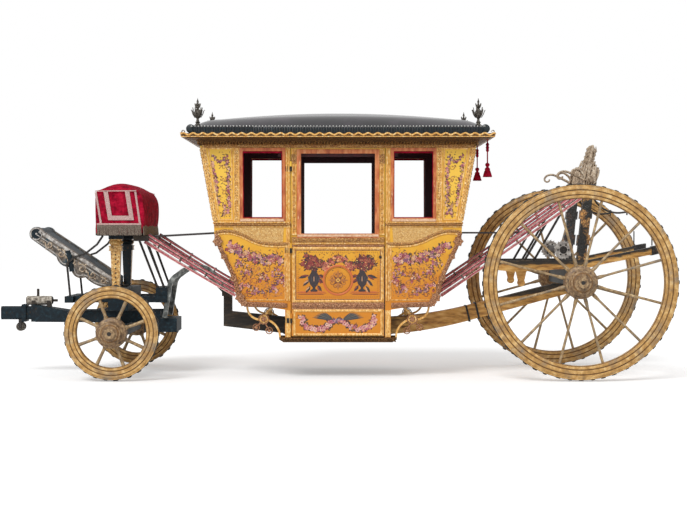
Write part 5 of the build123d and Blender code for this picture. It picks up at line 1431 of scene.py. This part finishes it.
# Middle of the cheek's rolled end, and the seat post's place
boss, post_x, post_y = (-2.777, 1.339), -2.015, 0.400
for side_name, side in both_sides:
    silver, scrolls, dark = (Relief() for _ in range(3))
    rail = [(-2.752, 1.366), (-2.066, 0.912)]
    silver.moulding(rail, (0.036, 0.010, "round"))
    silver.moulding([(x - 0.022, z - 0.034) for x, z in rail], (0.012, 0.007, "round"))
    edge = smooth_path([(-2.792, 1.282), (-2.690, 1.215), (-2.585, 1.138), (-2.530, 1.062), (-2.444, 1.046),
                        (-2.396, 0.952), (-2.310, 0.946), (-2.222, 0.880), (-2.090, 0.846)], 5)
    silver.moulding(edge, (0.014, 0.008, "round"))
    for x, z, size, turn, hand in ((-2.655, 1.240, 0.040, 2.6, 1), (-2.545, 1.150, 0.046, 2.2, -1),
                                   (-2.440, 1.090, 0.044, 2.6, 1), (-2.350, 1.010, 0.046, 2.2, -1),
                                   (-2.250, 0.955, 0.042, 2.6, 1), (-2.150, 0.895, 0.034, 2.2, -1)):
        curl(scrolls, x, z, size, turn, hand, 0.014, 0.010)
    silver.moulding(circle(*boss, 0.054, 24)[::-1], (0.016, 0.010, "round"), True)
    dark.add([(x, z, 0.004) for x, z in circle(*boss, 0.046, 24)], [list(range(24))])
    silver.bead(*boss, 0.014, 0.014, sides=10)
    # Iron strap that clamps the cheek above the stays
    dark.moulding([(-2.478, 1.182), (-2.462, 1.110), (-2.440, 0.985)], (0.052, 0.016, "round"))
    for relief, kind, slot, material in ((silver, "rails", "gilt_carving", silver_leaf),
                                         (scrolls, "scrolls", "gilt_carving", bleached_wood),
                                         (dark, "roll_disc", "dark_paint", blue_black)):
        points = [(x, side * (0.3303 + o), z) for x, z, o in relief.points]
        make_piece(f"cheek_{kind}_{side_name}", points, for_side(relief.faces, side), "carriage",
                   material)
    # Rings, ball, capital and dots of the seat post
    rings, cap, dots = Relief(), Relief(), Relief()
    for z, half in ((1.186, 0.060), (1.206, 0.057), (1.222, 0.061), (0.850, 0.040)):
        rings.add(*bar([(post_x, side * post_y, z - 0.005), (post_x, side * post_y, z + 0.005)], half, half,
                       (0, 1, 0)))
    cap.add(*bar([(post_x, side * post_y, 1.290), (post_x, side * post_y, 1.3215)], 0.0625, 0.0625))
    ball = turned("ball", [(0.0, 1.232), (0.048, 1.234), (0.062, 1.246), (0.066, 1.258), (0.062, 1.270),
                           (0.048, 1.282), (0.0, 1.284)],
                  (post_x, side * post_y, 0), (0, 0, 1), 24, front_post)
    bands = plain(rings, "bands", "carriage", front_post)
    ride_piece(join([ball, bands], f"seat_post_rings_{side_name}"), "carriage", 35)
    plain(cap, f"seat_post_capital_{side_name}", "carriage", blue_black)
    for k in range(7):
        dots.bead(post_x, 0.885 + 0.043 * k, 0.0085, 0.003, sides=8)
    points = [(x, side * (post_y + 0.033 + 0.013 * (z - 0.830) / 0.35 + o), z) for x, z, o in dots.points]
    make_piece(f"seat_post_dots_{side_name}", points, for_side(dots.faces, side), "carriage",
               dark_oak)
print("footboard and posts carved")

# %% [markdown]
# ## Small ironwork and the lashing
# A hemp line is lashed round the bar over the pole, wound as one helix. Under the pole hangs a
# small roller. The rear beams end in iron caps with a pin, hooks curve back from the rear
# posts, iron bands hold the perch, and the strap windlass has toothed ratchet wheels.

# %% Lashing, roller, bands, caps and hooks
helix = [(-2.930 + 0.240 * i / 260, 0.0405 * cos(i * 2 * pi / 12), 0.697 + 0.0405 * sin(i * 2 * pi / 12))
         for i in range(261)]
lashing = Relief()
lashing.add(*rod(helix, [(0.0052, 0.0052)] * len(helix), (1, 0, 0), 6))
plain(lashing, "bar_lashing", "fore_carriage", rope, 60)
roller_line = [(0.0, -0.050), (0.026, -0.050), (0.030, -0.046), (0.041, -0.046), (0.043, -0.030),
               (0.030, -0.026), (0.030, 0.026), (0.043, 0.030), (0.041, 0.046), (0.026, 0.050), (0.0, 0.050)]
roller = turned("pole_roller", roller_line, (-2.989, 0, 0.446), (0, 1, 0), 24, bronze)
ride_piece(roller, "fore_carriage", 40)
irons = Relief()
for y in (-0.058, 0.058):
    irons.add(*bar([(-2.989, y, 0.430), (-2.989, y, 0.520)], 0.004, 0.014))
irons.add(*rod([(-2.989, -0.066, 0.446), (-2.989, 0.066, 0.446)], [(0.008, 0.008)] * 2, (1, 0, 0), 10))
plain(irons, "roller_irons", "fore_carriage", iron)

rear_irons, wheels_of_ratchet = Relief(), Relief()
for side in (-1, 1):
    y = side * 0.450
    # Cap and pin at the tail of the beam
    corners = [(3.000, 1.138, 1.222), (3.1215, 1.1665, 1.2435)]
    rear_irons.add([(x, y + w, z) for x, low, high in corners for z in (low, high) for w in (-0.048, 0.048)],
                   box_faces)
    rear_irons.add(*rod([(3.010, y, 1.230), (3.010, y, 1.365)], [(0.006, 0.006)] * 2, (0, 1, 0), 8))
    # Hook that curves back from the rear post
    hook = smooth_path([(2.455, 1.690), (2.500, 1.620), (2.580, 1.560), (2.680, 1.536), (2.775, 1.545)], 4)
    rear_irons.add(*rod([(x, y, z) for x, z in hook], [(0.009, 0.009)] * len(hook), (0, 1, 0), 8))
    rear_irons.add(*rod([(2.775, y, 1.515), (2.775, y, 1.575)], [(0.007, 0.007)] * 2, (0, 1, 0), 8))
    # Ratchet wheel
    teeth = 18
    outline = []
    for k in range(teeth):
        for share, radius in ((0.0, 0.093), (0.55, 0.080), (0.9, 0.080)):
            turn = 2 * pi * (k + share) / teeth
            outline.append((2.176 + radius * cos(turn), 1.190 + radius * sin(turn)))
    count = len(outline)
    near, far = side * 0.474 - 0.008, side * 0.474 + 0.008
    wheels_of_ratchet.add([(x, near, z) for x, z in outline] + [(x, far, z) for x, z in outline],
                          [list(range(count)), [count + i for i in reversed(range(count))]]
                          + [[i, count + i, count + (i + 1) % count, (i + 1) % count] for i in range(count)])
    for x, z in circle(2.176, 1.190, 0.050, 6):
        rear_irons.add(*rod([(x, side * 0.474 + o, z) for o in (-0.010, 0.010)], [(0.009, 0.009)] * 2,
                            (1, 0, 0), 8))
rear_irons.add(*rod([(2.176, -0.488, 1.190), (2.176, 0.488, 1.190)], [(0.036, 0.036)] * 2, (1, 0, 0), 16))
# Two iron bands round the perch, square to its rise
for x, low, high in ((1.318, 0.499, 0.647), (1.408, 0.525, 0.675)):
    for y in (-0.079, 0.079):
        rear_irons.add(*bar([(x + 0.018, y, low), (x - 0.018, y, high)], 0.004, 0.009))
    for shift, z in ((0.018, low), (-0.018, high)):
        rear_irons.add(*bar([(x + shift, -0.082, z), (x + shift, 0.082, z)], 0.009, 0.004, (1, 0, 0)))
first = plain(rear_irons, "rear_irons", "carriage", iron)
plain(wheels_of_ratchet, "ratchet_wheels", "carriage", silver_leaf, 20)
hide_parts("windlass")

# %% Rosettes on the body's scroll irons
for side_name, side in both_sides:
    rosettes = Relief()
    for e in (-1, 1):
        # Two small rosettes hang on stems below the large one
        for x, z in ((0.645, 0.455), (0.755, 0.485)):
            stem = [(e * x, z), (e * (0.4 * x + 0.414), 0.4 * z + 0.318)]
            rosettes.moulding(stem, (0.014, 0.012, "round"))
        for x, z, size in ((0.690, 0.548, 0.046), (0.640, 0.440, 0.030), (0.760, 0.470, 0.030)):
            rosettes.moulding(circle(e * x, z, size, 20)[::-1], (0.010, 0.012, "round"), True)
            rosettes.flower(e * x, z, size * 0.66, 0.3, "808080", "808080", 0.014, 6)
    points = [(cabin_x + x, side * (0.572 + o), z) for x, z, o in rosettes.points]
    make_piece(f"scroll_rosettes_{side_name}", points, for_side(rosettes.faces, side), "carriage",
               rosy_gilt)

# %% The rear crest
# A carved rail between the posts, with a feather in its middle, sheaves over the posts and
# scrolls that curl forward. The rail and feather lean back by 16 degrees.
crest = Relief()
crest_x, crest_z, crest_lean = cabin_x + 2.346, 1.800, radians(16)


def on_crest(y, up, out):
    """A point y across, `up` along the leaning rail and `out` behind it."""
    s, c = sin(crest_lean), cos(crest_lean)
    return (crest_x + up * s + out * c, y, crest_z + up * c - out * s)


# Feather: a tapering blade, its quill, and barbs that peel off both edges and both faces
feather = [(0.020, 0.070, 0.040), (0.110, 0.098, 0.044), (0.210, 0.092, 0.040), (0.300, 0.064, 0.030),
           (0.370, 0.032, 0.018), (0.412, 0.005, 0.004)]
crest.add(*rod([on_crest(0, up, 0) for up, _, _ in feather], [(y, x) for _, y, x in feather], (0, 1, 0), 14))
for face in (-1, 1):
    crest.add(*rod([on_crest(0, up, face * (x + 0.002)) for up, _, x in feather],
                   [(0.008, 0.008)] * 5 + [(0.002, 0.002)], (0, 1, 0), 6))
    for e in (-1, 1):
        for up in (0.05, 0.09, 0.13, 0.17, 0.21, 0.25, 0.29, 0.33):
            reach = 0.115 * (1 - (up / 0.46) ** 2)
            line = [on_crest(e * y, up + rise, face * out) for y, rise, out in (
                (0.006, 0.0, 0.034), (reach * 0.55, 0.030, 0.040), (reach, 0.070, 0.022))]
            crest.add(*rod(line, [(0.011, 0.006), (0.013, 0.009), (0.003, 0.003)], (0, 0, 1), 6))
# Rail: a lumpy roll whose height falls from the middle and swells again at the ends
half_rail = [(0.180, 0.190), (0.300, 0.120), (0.400, 0.120), (0.520, 0.155), (0.585, 0.07)]
rail = [(-y, high) for y, high in reversed(half_rail)] + [(0.0, 0.230)] + half_rail
crest.add(*rod([on_crest(y, 0.020 + high / 2, 0) for y, high in rail],
               [(0.038, high / 2) for _, high in rail], (cos(crest_lean), 0, -sin(crest_lean)), 14))
for y, height, width in ((0.150, 0.250, 0.034), (0.230, 0.190, 0.030), (0.310, 0.145, 0.028),
                         (0.390, 0.150, 0.028), (0.470, 0.175, 0.030), (0.545, 0.150, 0.028)):
    for e in (-1, 1):
        for face in (-1, 1):
            line, sizes = [], []
            for t, w, out in ((0.0, 0.8, 0.030), (0.3, 1.0, 0.040), (0.7, 0.75, 0.042), (1.0, 0.12, 0.034)):
                line.append(on_crest(e * (y + 0.03 * t), 0.02 + t * (height - 0.02), face * out))
                sizes.append((width * w, 0.010))
            crest.add(*rod(line, sizes, (0, 1, 0), 8))
for side in (-1, 1):
    y = side * 0.450
    # Sheaf of ribs over the post, tied with a roll, and the scrolls in front of it
    for k, high in enumerate((0.150, 0.178, 0.196, 0.200, 0.186, 0.160)):
        x = crest_x - 0.046 + 0.0215 * k
        line = [(x, y, 1.802), (x + 0.002, y, 1.840), (x + 0.012, y, crest_z + 0.6 * high),
                (x + 0.026, y, crest_z + high), (x + 0.034, y, crest_z + high * 0.97)]
        sizes = [(0.050, 0.0118), (0.044, 0.0105), (0.052, 0.0118), (0.040, 0.0105), (0.020, 0.005)]
        crest.add(*rod(line, sizes, (0, 1, 0), 10))
    crest.add(*rod([(crest_x + x, y, 1.842) for x in (-0.060, 0.068)], [(0.052, 0.013)] * 2, (0, 1, 0), 10))
    arms = [([(-0.010, 0.030), (-0.080, 0.062), (-0.150, 0.098), (-0.215, 0.124), (-0.268, 0.116),
              (-0.296, 0.084), (-0.282, 0.056), (-0.254, 0.058), (-0.246, 0.078)], 0.030),
            ([(-0.020, 0.045), (-0.055, 0.105), (-0.105, 0.142), (-0.150, 0.134), (-0.160, 0.104),
              (-0.130, 0.090), (-0.112, 0.108)], 0.024)]
    for points, wide in arms:
        path = smooth_path(points, 3)
        sizes = [(wide * (1 - 0.5 * i / len(path)), 0.013 - 0.006 * i / len(path)) for i in range(len(path))]
        crest.add(*rod([(crest_x + x, y, crest_z + z) for x, z in path], sizes, (0, 1, 0), 8))
first = plain(crest, "crest_leaves", "carriage", bleached_wood, 50)
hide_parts("rear_crest")
print("iron work, rosettes and crest leaves are in place")

# %% [markdown]
# ## Bench cushions
# Two feather cushions in the crimson of the lining. Each is a cube, subdivided, thinned towards
# its seams and crowned in the middle, so it reads as filled cloth through the windows.

# %% Cushions
for name, x0, x1 in (("front", -0.920, -0.560), ("rear", 0.560, 0.920)):
    bpy.ops.mesh.primitive_cube_add(size=2)
    pad = bpy.context.object
    bpy.ops.object.mode_set(mode="EDIT")
    bpy.ops.mesh.select_all(action="SELECT")
    bpy.ops.mesh.subdivide(number_cuts=17)
    bpy.ops.object.mode_set(mode="OBJECT")
    for vertex in pad.data.vertices:
        u, v, w = vertex.co
        thin = 0.30 + 0.70 * ((1 - abs(u) ** 5) * (1 - abs(v) ** 9)) ** 0.5
        pull = 1 - 0.03 * w * w
        sag = 0.10 * noise.noise((u * 2, v * 5, w))
        vertex.co = (cabin_x + (x0 + x1) / 2 + u * (x1 - x0) / 2 * pull, v * 0.574 * pull,
                     1.1253 + (w + sag) * 0.0445 * thin)
    pad.name = pad.data.name = f"feather_cushion_{name}"
    pad.data.materials.append(velvet)
    ride_piece(pad, "carriage", 60)
    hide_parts("bench_cushions")
